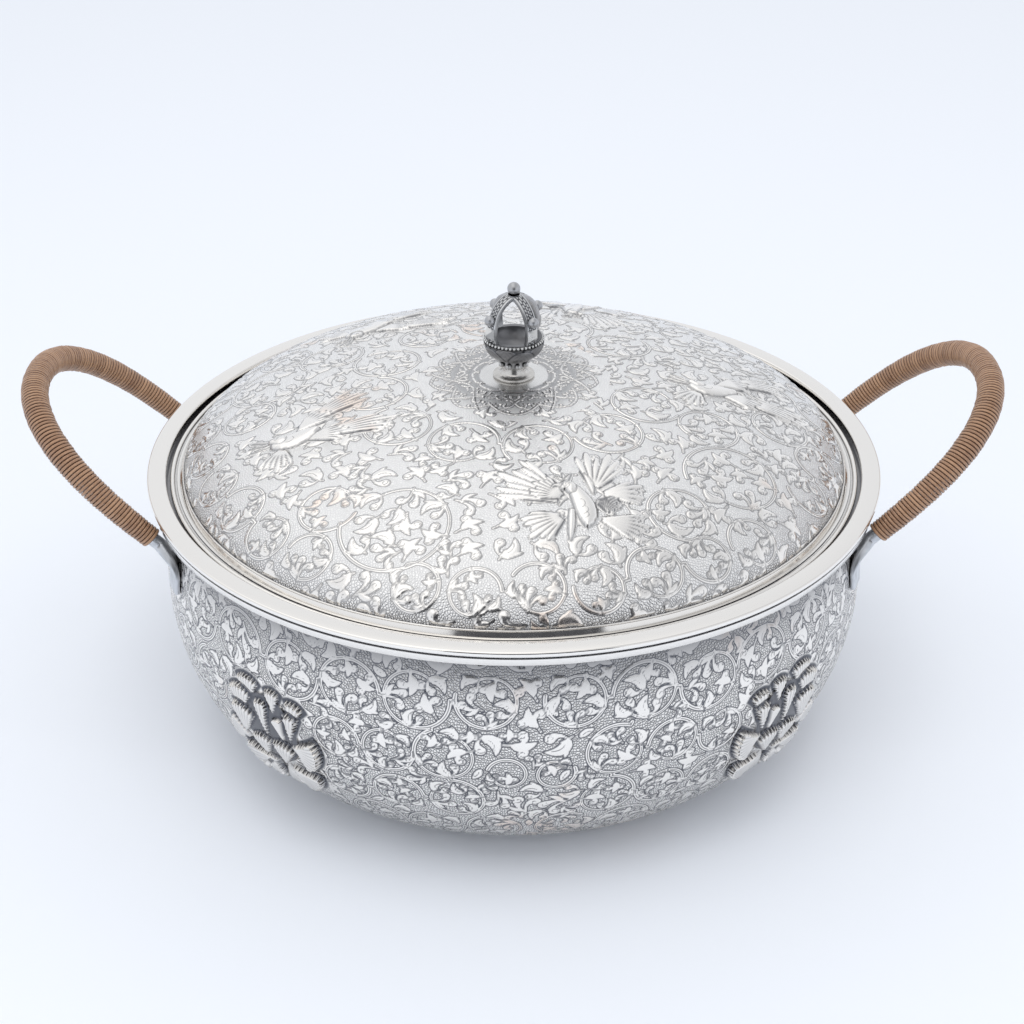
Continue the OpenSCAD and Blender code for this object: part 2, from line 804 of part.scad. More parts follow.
module handle_right_wrap() { handle_wrap(); }

module handle_left_wrap() { mirror([1, 0, 0]) handle_wrap(); }

bowl_shell();
rim_ring();
handle_left_core();
handle_right_core();
handle_left_wrap();
handle_right_wrap();
lid_dome();
lid_flange();
knob_foot();
knob_bead_collar();
knob_cup();
knob_cup_beads();
knob_arches();
knob_arch_pearls();
knob_arch_studs();
knob_top_ball();
knob_stud();
knob_washer();
knob_nut();
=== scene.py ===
# %% [markdown]
# # A lidded silver serving bowl
# The bowl is raised from sheet silver and chased all over with scrolling vines, peonies and birds. Its lid
# lifts off by an openwork crown, and two loops wound with cane carry it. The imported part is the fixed
# frame: it gives the place and size of every piece, and this script dresses it. All shapes here are worked
# out in millimetres and turned into metres when a mesh is made.

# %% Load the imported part
import bpy
import numpy as np
from mathutils import Matrix, Vector


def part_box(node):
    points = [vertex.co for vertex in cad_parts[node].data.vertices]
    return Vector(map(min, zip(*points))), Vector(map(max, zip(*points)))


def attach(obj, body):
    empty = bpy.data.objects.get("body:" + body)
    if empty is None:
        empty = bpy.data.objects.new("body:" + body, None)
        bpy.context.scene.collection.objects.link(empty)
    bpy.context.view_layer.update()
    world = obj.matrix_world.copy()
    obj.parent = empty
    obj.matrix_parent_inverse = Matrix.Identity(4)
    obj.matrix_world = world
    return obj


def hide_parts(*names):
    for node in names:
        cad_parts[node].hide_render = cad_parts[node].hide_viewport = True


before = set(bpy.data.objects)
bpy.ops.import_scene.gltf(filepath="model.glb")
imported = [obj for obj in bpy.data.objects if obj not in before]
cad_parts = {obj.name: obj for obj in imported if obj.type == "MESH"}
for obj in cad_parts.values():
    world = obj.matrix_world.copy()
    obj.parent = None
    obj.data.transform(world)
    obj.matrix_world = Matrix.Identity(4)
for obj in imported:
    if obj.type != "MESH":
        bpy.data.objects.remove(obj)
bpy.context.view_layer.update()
MM = 0.001


def reach(node):
    """Greatest radius, lowest and highest height of a round CAD node, in millimetres."""
    low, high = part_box(node)
    return high.x / MM, low.z / MM, high.z / MM


rim_r, rim_low, rim_top = reach("rim_ring")
belly_r, _, bowl_h = reach("bowl_shell")
dome_r, dome_z, foot_z = reach("lid_dome")

# %% [markdown]
# ## Camera
# The photograph looks down on the pot at about thirty degrees from some sixty centimetres away. The camera
# is built from those two facts: a direction back from the object, and the right and up directions that go
# with it.

# %% Camera
CAMERA_AZIMUTH = np.radians(-0.8)
CAMERA_HEIGHT = np.radians(30.07)
CAMERA_DISTANCE = 600.0
CAMERA_AIM_Z = 68.73
CAMERA_AIM_SIDE = -0.58
FOCAL_PIXELS = 1770.4
PICTURE_PIXELS = 1024
SENSOR_WIDTH = 36.0

back = Vector((np.sin(CAMERA_AZIMUTH) * np.cos(CAMERA_HEIGHT),
               -np.cos(CAMERA_AZIMUTH) * np.cos(CAMERA_HEIGHT),
               np.sin(CAMERA_HEIGHT)))
right = Vector((np.cos(CAMERA_AZIMUTH), np.sin(CAMERA_AZIMUTH), 0))
aim = Vector((0, 0, CAMERA_AIM_Z)) + right * CAMERA_AIM_SIDE
place = Matrix((right, back.cross(right), back)).transposed().to_4x4()
place.translation = (aim + back * CAMERA_DISTANCE) * MM
camera_data = bpy.data.cameras.new("camera")
camera_data.sensor_width = SENSOR_WIDTH
camera_data.lens = SENSOR_WIDTH * FOCAL_PIXELS / PICTURE_PIXELS
camera = bpy.data.objects.new("camera", camera_data)
camera.matrix_world = place
bpy.context.scene.collection.objects.link(camera)
bpy.context.scene.camera = camera
bpy.context.scene.view_settings.view_transform = "Standard"
print("lens", round(camera_data.lens, 2), "mm")

# %% [markdown]
# ## Meshes from grids
# Nearly every piece is one surface over two parameters. A grid of points becomes a mesh with one quad
# between four neighbours, and either direction may close on itself, as round a ring. Whole arrays go into
# the mesh at once, which is quick even for a few hundred thousand points.

# %% Mesh helpers


def grid_faces(rows, columns, close_rows=False, close_columns=False):
    """Corner numbers of the quads of a grid, one row of four for each quad."""
    i = np.arange(rows if close_rows else rows - 1)[:, None]
    j = np.arange(columns if close_columns else columns - 1)[None, :]
    below = (i + 1) % rows
    beside = (j + 1) % columns
    corners = [i * columns + j, i * columns + beside, below * columns + beside, below * columns + j]
    return np.stack([np.broadcast_to(c, (i.size, j.size)) for c in corners], -1).reshape(-1, 4)


def mesh_piece(name, points, quads, body, material, replaces=(), fields=None, normals=None, sharp=None):
    """Makes a mesh from points in millimetres and quads, and sets it to ride on a CAD body. fields are
    values for each point that the material reads, normals are directions for each point, and sharp is the
    angle past which an edge is shown as a crease."""
    mesh = bpy.data.meshes.new(name)
    points = np.asarray(points, float).reshape(-1, 3)
    quads = np.asarray(quads, np.int32)
    mesh.vertices.add(len(points))
    mesh.vertices.foreach_set("co", (points * MM).ravel())
    mesh.loops.add(quads.size)
    mesh.loops.foreach_set("vertex_index", quads.ravel())
    mesh.polygons.add(len(quads))
    mesh.polygons.foreach_set("loop_start", np.arange(0, quads.size, 4, dtype=np.int32))
    for field, values in (fields or {}).items():
        values = np.asarray(values, np.float32).reshape(len(points), -1)
        single = values.shape[1] == 1
        made = mesh.attributes.new(field, "FLOAT" if single else "FLOAT_VECTOR", "POINT")
        made.data.foreach_set("value" if single else "vector", values.ravel())
    mesh.materials.append(material)
    mesh.update(calc_edges=True)
    mesh.validate()
    mesh.shade_smooth()
    if sharp is not None:
        mesh.set_sharp_from_angle(angle=np.radians(sharp))
    if normals is not None:
        mesh.normals_split_custom_set_from_vertices(np.asarray(normals, float).reshape(-1, 3).tolist())
    piece = bpy.data.objects.new(name, mesh)
    bpy.context.scene.collection.objects.link(piece)
    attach(piece, body)
    if replaces:
        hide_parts(*replaces)


def turned_piece(name, outline, steps, body, material, replaces=(), sharp=35):
    """A lathe-turned piece: a closed outline of radius and height, carried round the Z axis.

    The outline runs anticlockwise with the radius to the right, so that the faces point outwards."""
    outline = np.asarray(outline, float)
    turn = 2 * np.pi * np.arange(steps)[:, None] / steps
    r = outline[None, :, 0]
    z = np.broadcast_to(outline[None, :, 1], (steps, len(outline)))
    points = np.stack([r * np.cos(turn), r * np.sin(turn), z], -1)
    quads = grid_faces(steps, len(outline), True, True)[:, ::-1]
    mesh_piece(name, points, quads, body, material, replaces, sharp=sharp)


def headings(angles):
    """Flat directions with a length of one at angles in radians, a row for each."""
    return np.stack([np.cos(angles), np.sin(angles)], 1)


def arc(centre, radius, start, end, count):
    """Points on a circle's arc between two angles in degrees."""
    a = np.radians(np.linspace(start, end, count))
    return np.array(centre) + radius * headings(a)


def unit(values):
    """Values held between 0 and 1."""
    return np.clip(values, 0, 1)


def smooth_step(value, start, end):
    """0 at start, 1 at end, with the smooth curve 3t^2 - 2t^3 between."""
    t = unit((value - start) / (end - start))
    return t * t * (3 - 2 * t)


def run_length(points):
    """Distances along a line of points, from its first one."""
    return np.concatenate([[0], np.cumsum(np.hypot.reduce(np.diff(points, axis=0), axis=1))])


def at_length(s, lengths, points):
    """Places on a line of points at distances along it."""
    return np.stack([np.interp(s, lengths, column) for column in points.T], -1)


def unit_length(vectors):
    """The same directions with a length of one."""
    return vectors / np.linalg.norm(vectors, axis=-1, keepdims=True)


def signed_power(value, power):
    """A power of a value's size that keeps its sign."""
    return np.sign(value) * np.abs(value) ** power


def capped(points):
    """Rings of a tube with a ring of middle points added at each end, which closes it."""
    first, last = [np.repeat(points[i].mean(0)[None, None], points.shape[1], 1) for i in (0, -1)]
    return np.concatenate([first, points, last])


def mirrored(points, quads):
    """The same piece on the other side: its points change sides, and its quads turn to face out."""
    return points * np.array([-1, 1, 1]), quads[:, ::-1]


print("mesh helpers ready")

# %% [markdown]
# ## Shader helpers
# Materials are short when a node can be added in one line. An input is either a plain value, which is set
# on the socket, or the output of another node, which is linked to it.

# %% Shader helpers


def feed(tree, socket, value):
    """Gives an input socket a plain value, or a link from the output of another node."""
    if isinstance(value, bpy.types.NodeSocket):
        tree.links.new(value, socket)
    else:
        socket.default_value = value


def add(tree, kind, inputs=None, **settings):
    """Adds a shader node. Inputs are values or output sockets, and settings are properties of the node."""
    made = tree.nodes.new("ShaderNode" + kind)
    for key, value in settings.items():
        setattr(made, key, value)
    for key, value in (inputs or {}).items():
        feed(tree, made.inputs[key], value)
    return made


def calc(tree, operation, first, second=0.0, third=0.0):
    """The result of a Math node on up to three values or sockets."""
    return add(tree, "Math", {0: first, 1: second, 2: third}, operation=operation).outputs[0]


def attribute(tree, name, output="Fac"):
    """A value that each point of the mesh carries."""
    return add(tree, "Attribute", attribute_name=name).outputs[output]


def step_between(tree, value, start, end):
    """A smooth step: 0 where the value is at start, 1 where it is at end, whichever is larger."""
    inputs = {"Value": value, "From Min": min(start, end), "From Max": max(start, end),
              "To Min": float(start > end), "To Max": float(start < end)}
    return add(tree, "MapRange", inputs, interpolation_type="SMOOTHSTEP").outputs["Result"]


def blend_colour(tree, factor, first, second):
    """A colour between two others."""
    made = add(tree, "Mix", {"Factor": factor}, data_type="RGBA")
    for key, value in ((6, first), (7, second)):
        feed(tree, made.inputs[key], (*value, 1) if isinstance(value, tuple) else value)
    return made.outputs[2]


def node_group(name, inputs, outputs):
    """An empty shader node group with its inputs, where a tuple is a vector and a number a float, its float
    outputs, and the nodes at its two ends."""
    group = bpy.data.node_groups.new(name, "ShaderNodeTree")
    for key, value in inputs.items():
        kind = "NodeSocketVector" if isinstance(value, tuple) else "NodeSocketFloat"
        made = group.interface.new_socket(key, in_out="INPUT", socket_type=kind)
        made.default_value = value
    for key in outputs:
        group.interface.new_socket(key, in_out="OUTPUT", socket_type="NodeSocketFloat")
    start = group.nodes.new("NodeGroupInput")
    end = group.nodes.new("NodeGroupOutput")
    return group, start.outputs, end.inputs


def use_group(tree, group, **inputs):
    """Places a node group in a material, with its own values."""
    made = tree.nodes.new("ShaderNodeGroup")
    made.node_tree = group
    for key, value in inputs.items():
        feed(tree, made.inputs[key.replace("_", " ")], value)
    return made.outputs


def new_material(name):
    """A material with only a Principled shader and its output, and its node tree."""
    material = bpy.data.materials.new(name)
    material.use_nodes = True
    tree = material.node_tree
    return material, tree, tree.nodes["Principled BSDF"]


def dress(tree, shader, colour, rough, metallic=1.0):
    """Gives a shader its colour and its roughness, as a metal unless told otherwise."""
    tree.links.new(colour, shader.inputs["Base Color"])
    tree.links.new(rough, shader.inputs["Roughness"])
    shader.inputs["Metallic"].default_value = metallic


def emboss(tree, shader, height, strength, distance):
    """Gives a shader fine bumps, of a depth in metres."""
    bump = add(tree, "Bump", {"Height": height, "Strength": strength, "Distance": distance})
    tree.links.new(bump.outputs[0], shader.inputs["Normal"])


print("shader helpers ready")

# %% [markdown]
# ## Effects that several finishes share
# Three effects come back on more than one piece. The pebbled ground is what a chaser leaves with a round
# punch, blow beside blow. The handling is the cloudy film and faint streaks of polishing. The oxide is the
# dark skin that stays wherever a polishing cloth can't reach, and the same dark mask also carries painted
# shade.

# %% Pebbled ground


def make_pebbles():
    """Round punch marks from Voronoi cells: a dome in each cell, and a gap where two cells meet."""
    inputs = {"Place": (0.0, 0.0, 0.0), "Marks": 1.0}
    group, given, made = node_group("pebbled_ground", inputs, ["Height", "Gap"])
    cells = add(group, "TexVoronoi", {"Vector": given["Place"], "Scale": given["Marks"], "Randomness": 0.9},
                feature="DISTANCE_TO_EDGE", voronoi_dimensions="2D")
    distance = cells.outputs["Distance"]
    group.links.new(step_between(group, distance, 0.02, 0.4), made["Height"])
    group.links.new(step_between(group, distance, 0.2, 0.05), made["Gap"])
    return group


pebbled_ground = make_pebbles()


def make_handling():
    """Cloudy film from two sizes of noise, centred on zero."""
    group, given, made = node_group("handling", {"Marks per metre": 60.0}, ["Cloud", "Streak"])
    where = add(group, "TexCoord").outputs["Object"]
    marks = given["Marks per metre"]
    cloud = add(group, "TexNoise", {"Vector": where, "Scale": marks, "Detail": 4.0}).outputs[0]
    fine = calc(group, "MULTIPLY", marks, 14.0)
    streak = add(group, "TexNoise", {"Vector": where, "Scale": fine, "Detail": 3.0}).outputs[0]
    group.links.new(calc(group, "SUBTRACT", cloud, 0.5), made["Cloud"])
    group.links.new(calc(group, "SUBTRACT", streak, 0.5), made["Streak"])
    return group


handling = make_handling()


def make_chasing():
    """Masks of the chased pattern from the distances that each point of a skin carries, in millimetres.
    Ground is the field outside every motif, Raised is the inside of the motifs, and the dark mask is dark on
    their outlines, on engraved lines, in deep recesses and in the gaps between the punch marks. That dark
    mask is oxide, and also painted shade where the shade and pit values carry it: under the rim, round the
    peonies and towards the lid's foot."""
    inputs = {"Edge": 1.0, "Line": 9.0, "Middle": 9.0, "Shade": 0.0, "Gap": 0.0,
              "Outline width": 0.3, "Line strength": 0.9, "Ground oxide": 0.5}
    group, given, made = node_group("chasing", inputs, ["Ground", "Oxide and shade", "Raised"])
    ground = step_between(group, given["Edge"], 0.1, 0.45)
    raised = step_between(group, given["Edge"], 0.05, -0.2)
    off = calc(group, "ABSOLUTE", calc(group, "SUBTRACT", given["Edge"], 0.2))
    outline = step_between(group, calc(group, "DIVIDE", off, given["Outline width"]), 1.0, 0.35)
    engraved = calc(group, "MULTIPLY", step_between(group, given["Line"], 0.27, 0.07), 0.85)
    furrow = step_between(group, calc(group, "ABSOLUTE", given["Middle"]), 0.22, 0.08)
    furrow = calc(group, "MULTIPLY", furrow, calc(group, "MULTIPLY", raised, 0.8))
    engraved = calc(group, "MAXIMUM", engraved, furrow)
    pits = calc(group, "MULTIPLY", calc(group, "MULTIPLY", given["Gap"], ground), given["Ground oxide"])
    lines = calc(group, "MULTIPLY", calc(group, "MAXIMUM", outline, engraved), given["Line strength"])
    # The dark mask: oxide, and painted shade where the shade or pit values carry it.
    oxide = calc(group, "MAXIMUM", calc(group, "MAXIMUM", lines, pits), given["Shade"])
    group.links.new(ground, made["Ground"])
    group.links.new(oxide, made["Oxide and shade"])
    group.links.new(raised, made["Raised"])
    return group


chasing = make_chasing()
print("node groups", [g.name for g in bpy.data.node_groups])

# %% [markdown]
# ## Finishes
# The chased silver reads the pattern that its skin carries. The rim and the lid's edge are polished and keep
# a little oxide in their grooves, the crown is cast and keeps more; this darkening comes from how closed in
# each point is, so it is painted shade as well as oxide. The forged handle ends are grey, and the windings
# are cane. Silver is a metal, so its colour is the colour of its reflection, and oxide is only a much darker
# metal.

# %% Chased silver
PEBBLES_PER_MM = 1.2
CLOUDS_PER_METRE = 30.0
BLUSH = (0.91, 0.72, 0.60)
BLUSH_SHARE = 0.5
CHASED_OXIDE_AND_SHADE = (0.065, 0.071, 0.09)


def chased_silver(name, outline_width, line_strength, mark_depth, motif, ground):
    """Chased silver: bright motifs, dark outlines and a pebbled ground."""
    material, tree, shader = new_material(name)
    pebbles = use_group(tree, pebbled_ground, Place=attribute(tree, "sheet", "Vector"), Marks=PEBBLES_PER_MM)
    masks = use_group(tree, chasing, Edge=attribute(tree, "edge"), Line=attribute(tree, "line"),
                      Middle=attribute(tree, "mid"), Shade=attribute(tree, "shade"), Gap=pebbles["Gap"],
                      Outline_width=outline_width, Line_strength=line_strength,
                      Ground_oxide=attribute(tree, "pits"))
    film = use_group(tree, handling, Marks_per_metre=CLOUDS_PER_METRE)
    blush = calc(tree, "MULTIPLY", step_between(tree, film["Cloud"], 0.08, 0.17), BLUSH_SHARE)
    blush = calc(tree, "MULTIPLY", blush, masks["Raised"])
    metal = blend_colour(tree, masks["Ground"], motif, ground)
    metal = blend_colour(tree, blush, metal, BLUSH)
    # The dark colour stands for oxide, and also for painted shade under the rim, round the peonies and at
    # the lid's foot.
    colour = blend_colour(tree, masks["Oxide and shade"], metal, CHASED_OXIDE_AND_SHADE)
    rough = calc(tree, "MULTIPLY_ADD", masks["Ground"], 0.1, 0.2)
    dress(tree, shader, colour, calc(tree, "MULTIPLY_ADD", film["Cloud"], 0.16, rough))
    height = calc(tree, "MULTIPLY", pebbles["Height"], masks["Ground"])
    emboss(tree, shader, calc(tree, "MULTIPLY_ADD", film["Streak"], 0.04, height), 0.75, mark_depth)
    return material


bowl_silver = chased_silver("chased_silver_bowl", outline_width=0.25, line_strength=0.92, mark_depth=0.0002,
                            motif=(0.94, 0.91, 0.87), ground=(0.985, 0.965, 0.935))
lid_silver = chased_silver("chased_silver_lid", outline_width=0.22, line_strength=0.62, mark_depth=0.00014,
                           motif=(0.97, 0.95, 0.925), ground=(0.985, 0.98, 0.975))

# %% Plain, oxidised and engraved silver
FINE_MARKS = 300.0
CAST_OXIDE = (0.05, 0.052, 0.06)


def plain_silver(name, colour, rough, film_depth, marks=45.0, bump_depth=0.00002):
    """Silver without a pattern: its colour, its gloss, and a cloudy film of handling."""
    material, tree, shader = new_material(name)
    film = use_group(tree, handling, Marks_per_metre=marks)
    dull = tuple(0.82 * c for c in colour)
    cloudy = blend_colour(tree, step_between(tree, film["Cloud"], -0.2, 0.25), colour, dull)
    dress(tree, shader, cloudy, calc(tree, "MULTIPLY_ADD", film["Cloud"], film_depth, rough))
    emboss(tree, shader, film["Streak"], 0.4, bump_depth)
    return material


def recess_darkened_silver(name, bright, recess_mm, rough, darkest, cast=1.0):
    """Silver that is darker in every recess, found by how much each point is closed in: oxide, and painted
    shade as well. cast is how uneven the metal is."""
    material, tree, shader = new_material(name)
    film = use_group(tree, handling, Marks_per_metre=FINE_MARKS)
    # Painted shade and oxide: darker where the point is closed in.
    open_sky = add(tree, "AmbientOcclusion", {"Distance": recess_mm * MM}, samples=8).outputs["AO"]
    open_share = step_between(tree, calc(tree, "MULTIPLY_ADD", film["Cloud"], 0.25 * cast, open_sky), 0.35, 0.95)
    colour = blend_colour(tree, open_share, darkest, bright)
    dress(tree, shader, colour, calc(tree, "MULTIPLY_ADD", film["Cloud"], 0.2, rough))
    emboss(tree, shader, film["Streak"], 0.5 * cast, 0.00004)
    return material


def engraved_silver(name, bright, rough):
    """Cast silver with oxide in the lines that its piece carries."""
    material, tree, shader = new_material(name)
    film = use_group(tree, handling, Marks_per_metre=FINE_MARKS)
    colour = blend_colour(tree, attribute(tree, "shade"), bright, CAST_OXIDE)
    dress(tree, shader, colour, calc(tree, "MULTIPLY_ADD", film["Cloud"], 0.2, rough))
    return material


ring_silver = recess_darkened_silver("ring_silver", (0.94, 0.915, 0.88), 1.6, 0.1, (0.09, 0.09, 0.1), 0.05)
inside_silver = plain_silver("bowl_inside_silver", (0.86, 0.855, 0.845), 0.24, 0.14)
grey_silver = plain_silver("grey_silver", (0.64, 0.66, 0.69), 0.36, 0.2, FINE_MARKS, 0.00006)
fixing_metal = plain_silver("turned_metal", (0.62, 0.62, 0.62), 0.34, 0.12, 400.0)
crown_grey = recess_darkened_silver("crown_grey_silver", (0.48, 0.485, 0.50), 0.8, 0.3, (0.12, 0.125, 0.135))
crown_bright = recess_darkened_silver("crown_bright_silver", (0.78, 0.78, 0.775), 0.8, 0.3, (0.06, 0.06, 0.065))
bead_silver = recess_darkened_silver("crown_bead_silver", (0.62, 0.62, 0.62), 1.3, 0.36, (0.03, 0.03, 0.035))
foot_silver = plain_silver("crown_foot_silver", (0.72, 0.70, 0.67), 0.24, 0.2, FINE_MARKS)
cup_silver = engraved_silver("crown_cup_silver", (0.30, 0.30, 0.31), 0.36)
band_silver = engraved_silver("crown_band_silver", (0.60, 0.605, 0.615), 0.3)

# %% Cane
CANE_DARK = (0.2, 0.096, 0.05)
CANE_LIGHT = (0.41, 0.232, 0.13)
CANE_FIBRE = (0.47, 0.285, 0.17)
CANE_GROOVE = (0.08, 0.035, 0.02)


def cane_finish():
    """Split cane: each turn has its own tone, fibres run along it, and its edges are dark where turns
    meet."""
    material, tree, shader = new_material("cane")
    tone, across, along = [attribute(tree, name) for name in ("tone", "across", "along")]
    stretched = {0: calc(tree, "MULTIPLY", along, 0.12), 1: calc(tree, "MULTIPLY", across, 3.0),
                 2: calc(tree, "MULTIPLY", tone, 20.0)}
    where = add(tree, "CombineXYZ", stretched).outputs[0]
    fibre = add(tree, "TexNoise", {"Vector": where, "Scale": 2.2, "Detail": 4.0}).outputs[0]
    colour = blend_colour(tree, tone, CANE_DARK, CANE_LIGHT)
    colour = blend_colour(tree, step_between(tree, fibre, 0.42, 0.68), colour, CANE_FIBRE)
    groove = step_between(tree, calc(tree, "ABSOLUTE", across), 0.5, 0.95)
    colour = blend_colour(tree, calc(tree, "MULTIPLY", groove, 0.88), colour, CANE_GROOVE)
    dress(tree, shader, colour, calc(tree, "MULTIPLY_ADD", fibre, 0.2, 0.32), metallic=0.0)
    shader.inputs["Coat Weight"].default_value = 0.5
    shader.inputs["Coat Roughness"].default_value = 0.22
    emboss(tree, shader, fibre, 0.35, 0.00008)
    return material


cane = cane_finish()
print("finishes", [material.name for material in bpy.data.materials])

# %% [markdown]
# ## A sheet to draw the ornament on
# Chased work is easiest to plan flat. A sheet is an even grid of points with five values each: the signed
# distance to the edge of the nearest motif (negative inside it), the distance to the nearest engraved line
# and to the middle of the nearest vine, the height of the high relief, and the darkness that its recesses
# keep, which is oxide and, round the peonies, painted shade as well. Every motif is made of strokes, which
# are lines with a width that changes along them, so vines, leaves and feathers all go through one function.
# The mesh of the real curved wall later reads its height from the sheet, and the material reads the
# distances.

# %% Ornament sheet
FAR = 9.0
HAIRLINE = 0.01
SHEET_PITCH = 0.25


class Sheet:
    """A flat sheet of ornament in millimetres."""

    def __init__(self, low, high, pitch):
        self.low = np.array(low, float)
        self.pitch = pitch
        counts = np.ceil((np.array(high, float) - self.low) / pitch).astype(int) + 1
        self.x = self.low[0] + pitch * np.arange(counts[0])
        self.y = self.low[1] + pitch * np.arange(counts[1])
        shape = (counts[1], counts[0])
        self.edge = np.full(shape, FAR)
        self.line = np.full(shape, FAR)
        self.mid = np.full(shape, FAR)
        self.high = np.zeros(shape)
        self.shade = np.zeros(shape)

    def window(self, low, high):
        """Slices of the part of the sheet between two corners, with its coordinates."""
        first = np.clip(np.floor((np.array(low) - self.low) / self.pitch).astype(int), 0, None)
        last = np.ceil((np.array(high) - self.low) / self.pitch).astype(int) + 1
        part = (slice(first[1], max(last[1], first[1])), slice(first[0], max(last[0], first[0])))
        x, y = np.meshgrid(self.x[part[1]], self.y[part[0]])
        return part, x, y

    def around(self, hub, spare, angle):
        """The square about a hub as slices, with the distance from the hub and the turn from an angle."""
        hub = np.array(hub)
        part, x, y = self.window(hub - spare, hub + spare)
        turn = np.angle(np.exp(1j * (np.arctan2(y - hub[1], x - hub[0]) - angle)))
        return part, np.hypot(x - hub[0], y - hub[1]), turn

    def read(self, field, x, y):
        """Values of a field at points on the sheet, blended from the four nearest grid points."""
        values = getattr(self, field)
        across = np.clip((x - self.low[0]) / self.pitch, 0, values.shape[1] - 1.001)
        up = np.clip((y - self.low[1]) / self.pitch, 0, values.shape[0] - 1.001)
        j, i = across.astype(int), up.astype(int)
        u, v = across - j, up - i
        return ((values[i, j] * (1 - u) + values[i, j + 1] * u) * (1 - v)
                + (values[i + 1, j] * (1 - u) + values[i + 1, j + 1] * u) * v)


def link_offsets(x, y, points):
    """The run of each link of a line and, for each place, the share of the link at which it is nearest and
    the offset from there."""
    run = np.diff(points, axis=0)
    dx = x[..., None] - points[:-1, 0]
    dy = y[..., None] - points[:-1, 1]
    h = unit((dx * run[:, 0] + dy * run[:, 1]) / np.maximum((run ** 2).sum(1), 1e-9))
    return run, h, dx - h * run[:, 0], dy - h * run[:, 1]


def chain_distance(x, y, points, radii):
    """Signed distance to a chain of tapered links, and the distance from their middle as a share of the half
    width. Each link runs from one point to the next, and its half width goes evenly from one radius to the
    other."""
    _, h, off_x, off_y = link_offsets(x, y, points)
    off = np.hypot(off_x, off_y)
    radius = radii[:-1] + (radii[1:] - radii[:-1]) * h
    return (off - radius).min(-1), (off / radius).min(-1)


def draw(sheet, points, radii, field="edge", margin=4.0):
    """Adds one stroke to a field of the sheet, keeping the smaller distance."""
    points, radii = np.asarray(points), np.asarray(radii)
    spare = radii.max() + margin
    part, x, y = sheet.window(points.min(0) - spare, points.max(0) + spare)
    if x.size:
        values = getattr(sheet, field)
        values[part] = np.minimum(values[part], chain_distance(x, y, points, radii)[0])


def engrave(sheet, points):
    """Adds an engraved line."""
    draw(sheet, points, np.full(len(points), HAIRLINE), "line", 0.6)


def lay(sheet, strokes, margin=4.0):
    """Adds strokes that grow into one shape, on top of what lies under it, with a line along its edge."""
    spare = max(radii.max() for _, radii in strokes) + margin
    corners = np.concatenate([points for points, _ in strokes])
    part, x, y = sheet.window(corners.min(0) - spare, corners.max(0) + spare)
    if x.size:
        distance = np.min([chain_distance(x, y, points, radii)[0] for points, radii in strokes], axis=0)
        sheet.edge[part] = np.minimum(sheet.edge[part], distance)
        under = np.where(distance < 0, FAR, sheet.line[part])
        sheet.line[part] = np.minimum(under, np.abs(distance))
        sheet.mid[part] = np.where(distance < 0.2, FAR, sheet.mid[part])


def draw_vine(sheet, points, radii):
    """Adds a vine, and the distance from its middle line, with a sign for the side of it."""
    draw(sheet, points, radii)
    part, x, y = sheet.window(points.min(0) - 2, points.max(0) + 2)
    run, _, off_x, off_y = link_offsets(x, y, points)
    off = np.hypot(off_x, off_y) * np.sign(run[:, 0] * off_y - run[:, 1] * off_x)
    nearest = np.abs(off).argmin(-1)[..., None]
    off = np.take_along_axis(off, nearest, -1)[..., 0]
    sheet.mid[part] = np.where(np.abs(off) < np.abs(sheet.mid[part]), off, sheet.mid[part])


print("ornament sheet ready")

# %% [markdown]
# ## Leaves, buds and vines
# The scrolls carry a few kinds of sprig: a trefoil with two curled lobes, a pair of buds, a curved leaf
# with a berry, and a single leaf. Each is drawn once at a length of one, base at the origin and pointing
# up, and stamped at its own place, angle and size.

# %% Sprigs


def curve(start, middle, end, count=10):
    """A quadratic curve: (1-t)^2 start + 2t(1-t) middle + t^2 end."""
    t = np.linspace(0, 1, count)[:, None]
    return (1 - t) ** 2 * np.array(start) + 2 * t * (1 - t) * np.array(middle) + t * t * np.array(end)


def leaf(start, middle, end, width, count=10):
    """A pointed leaf: its half width is half the width times sin(pi t^0.75)^0.85 along a curve."""
    t = np.linspace(0, 1, count)
    return curve(start, middle, end, count), width / 2 * np.sin(np.pi * t ** 0.75) ** 0.85 + 0.012


def lobe(start, middle, end, width, count=9):
    """A stem that swells into a round head: its half width is half the width times 0.2 + 0.8 t^2.4."""
    t = np.linspace(0, 1, count)
    return curve(start, middle, end, count), width / 2 * (0.2 + 0.8 * t ** 2.4)


def curl(centre, radius, start, sweep, count=9):
    """An engraved spiral that winds in from a radius to a third of it."""
    a = np.radians(start + np.linspace(0, sweep, count))
    r = radius * np.linspace(1, 0.35, count)[:, None]
    return np.array(centre) + r * headings(a)


STEM = curve((0, -0.12), (0.02, 0.1), (0, 0.4), 5), np.full(5, 0.045)
TREFOIL = {
    "strokes": [STEM, lobe((0, 0.12), (-0.02, 0.88), (-0.42, 0.64), 0.44),
                lobe((0, 0.12), (0.02, 0.88), (0.42, 0.64), 0.44),
                leaf((0, 0.24), (0.26, 0.66), (-0.14, 1.18), 0.40)],
    "lines": [curl((-0.40, 0.64), 0.16, 150, 290), curl((0.40, 0.64), 0.16, 30, -290)],
}
BUD_PAIR = {
    "strokes": [STEM, leaf((0.03, 0.2), (0.44, 0.16), (0.70, 0.52), 0.22),
                lobe((0, 0.1), (0.04, 0.86), (-0.36, 0.78), 0.48),
                lobe((0, 0.05), (0.42, 0.42), (0.30, 0.92), 0.46)],
    "lines": [curl((-0.35, 0.77), 0.17, 200, 290), curl((0.30, 0.90), 0.16, -60, -280)],
}
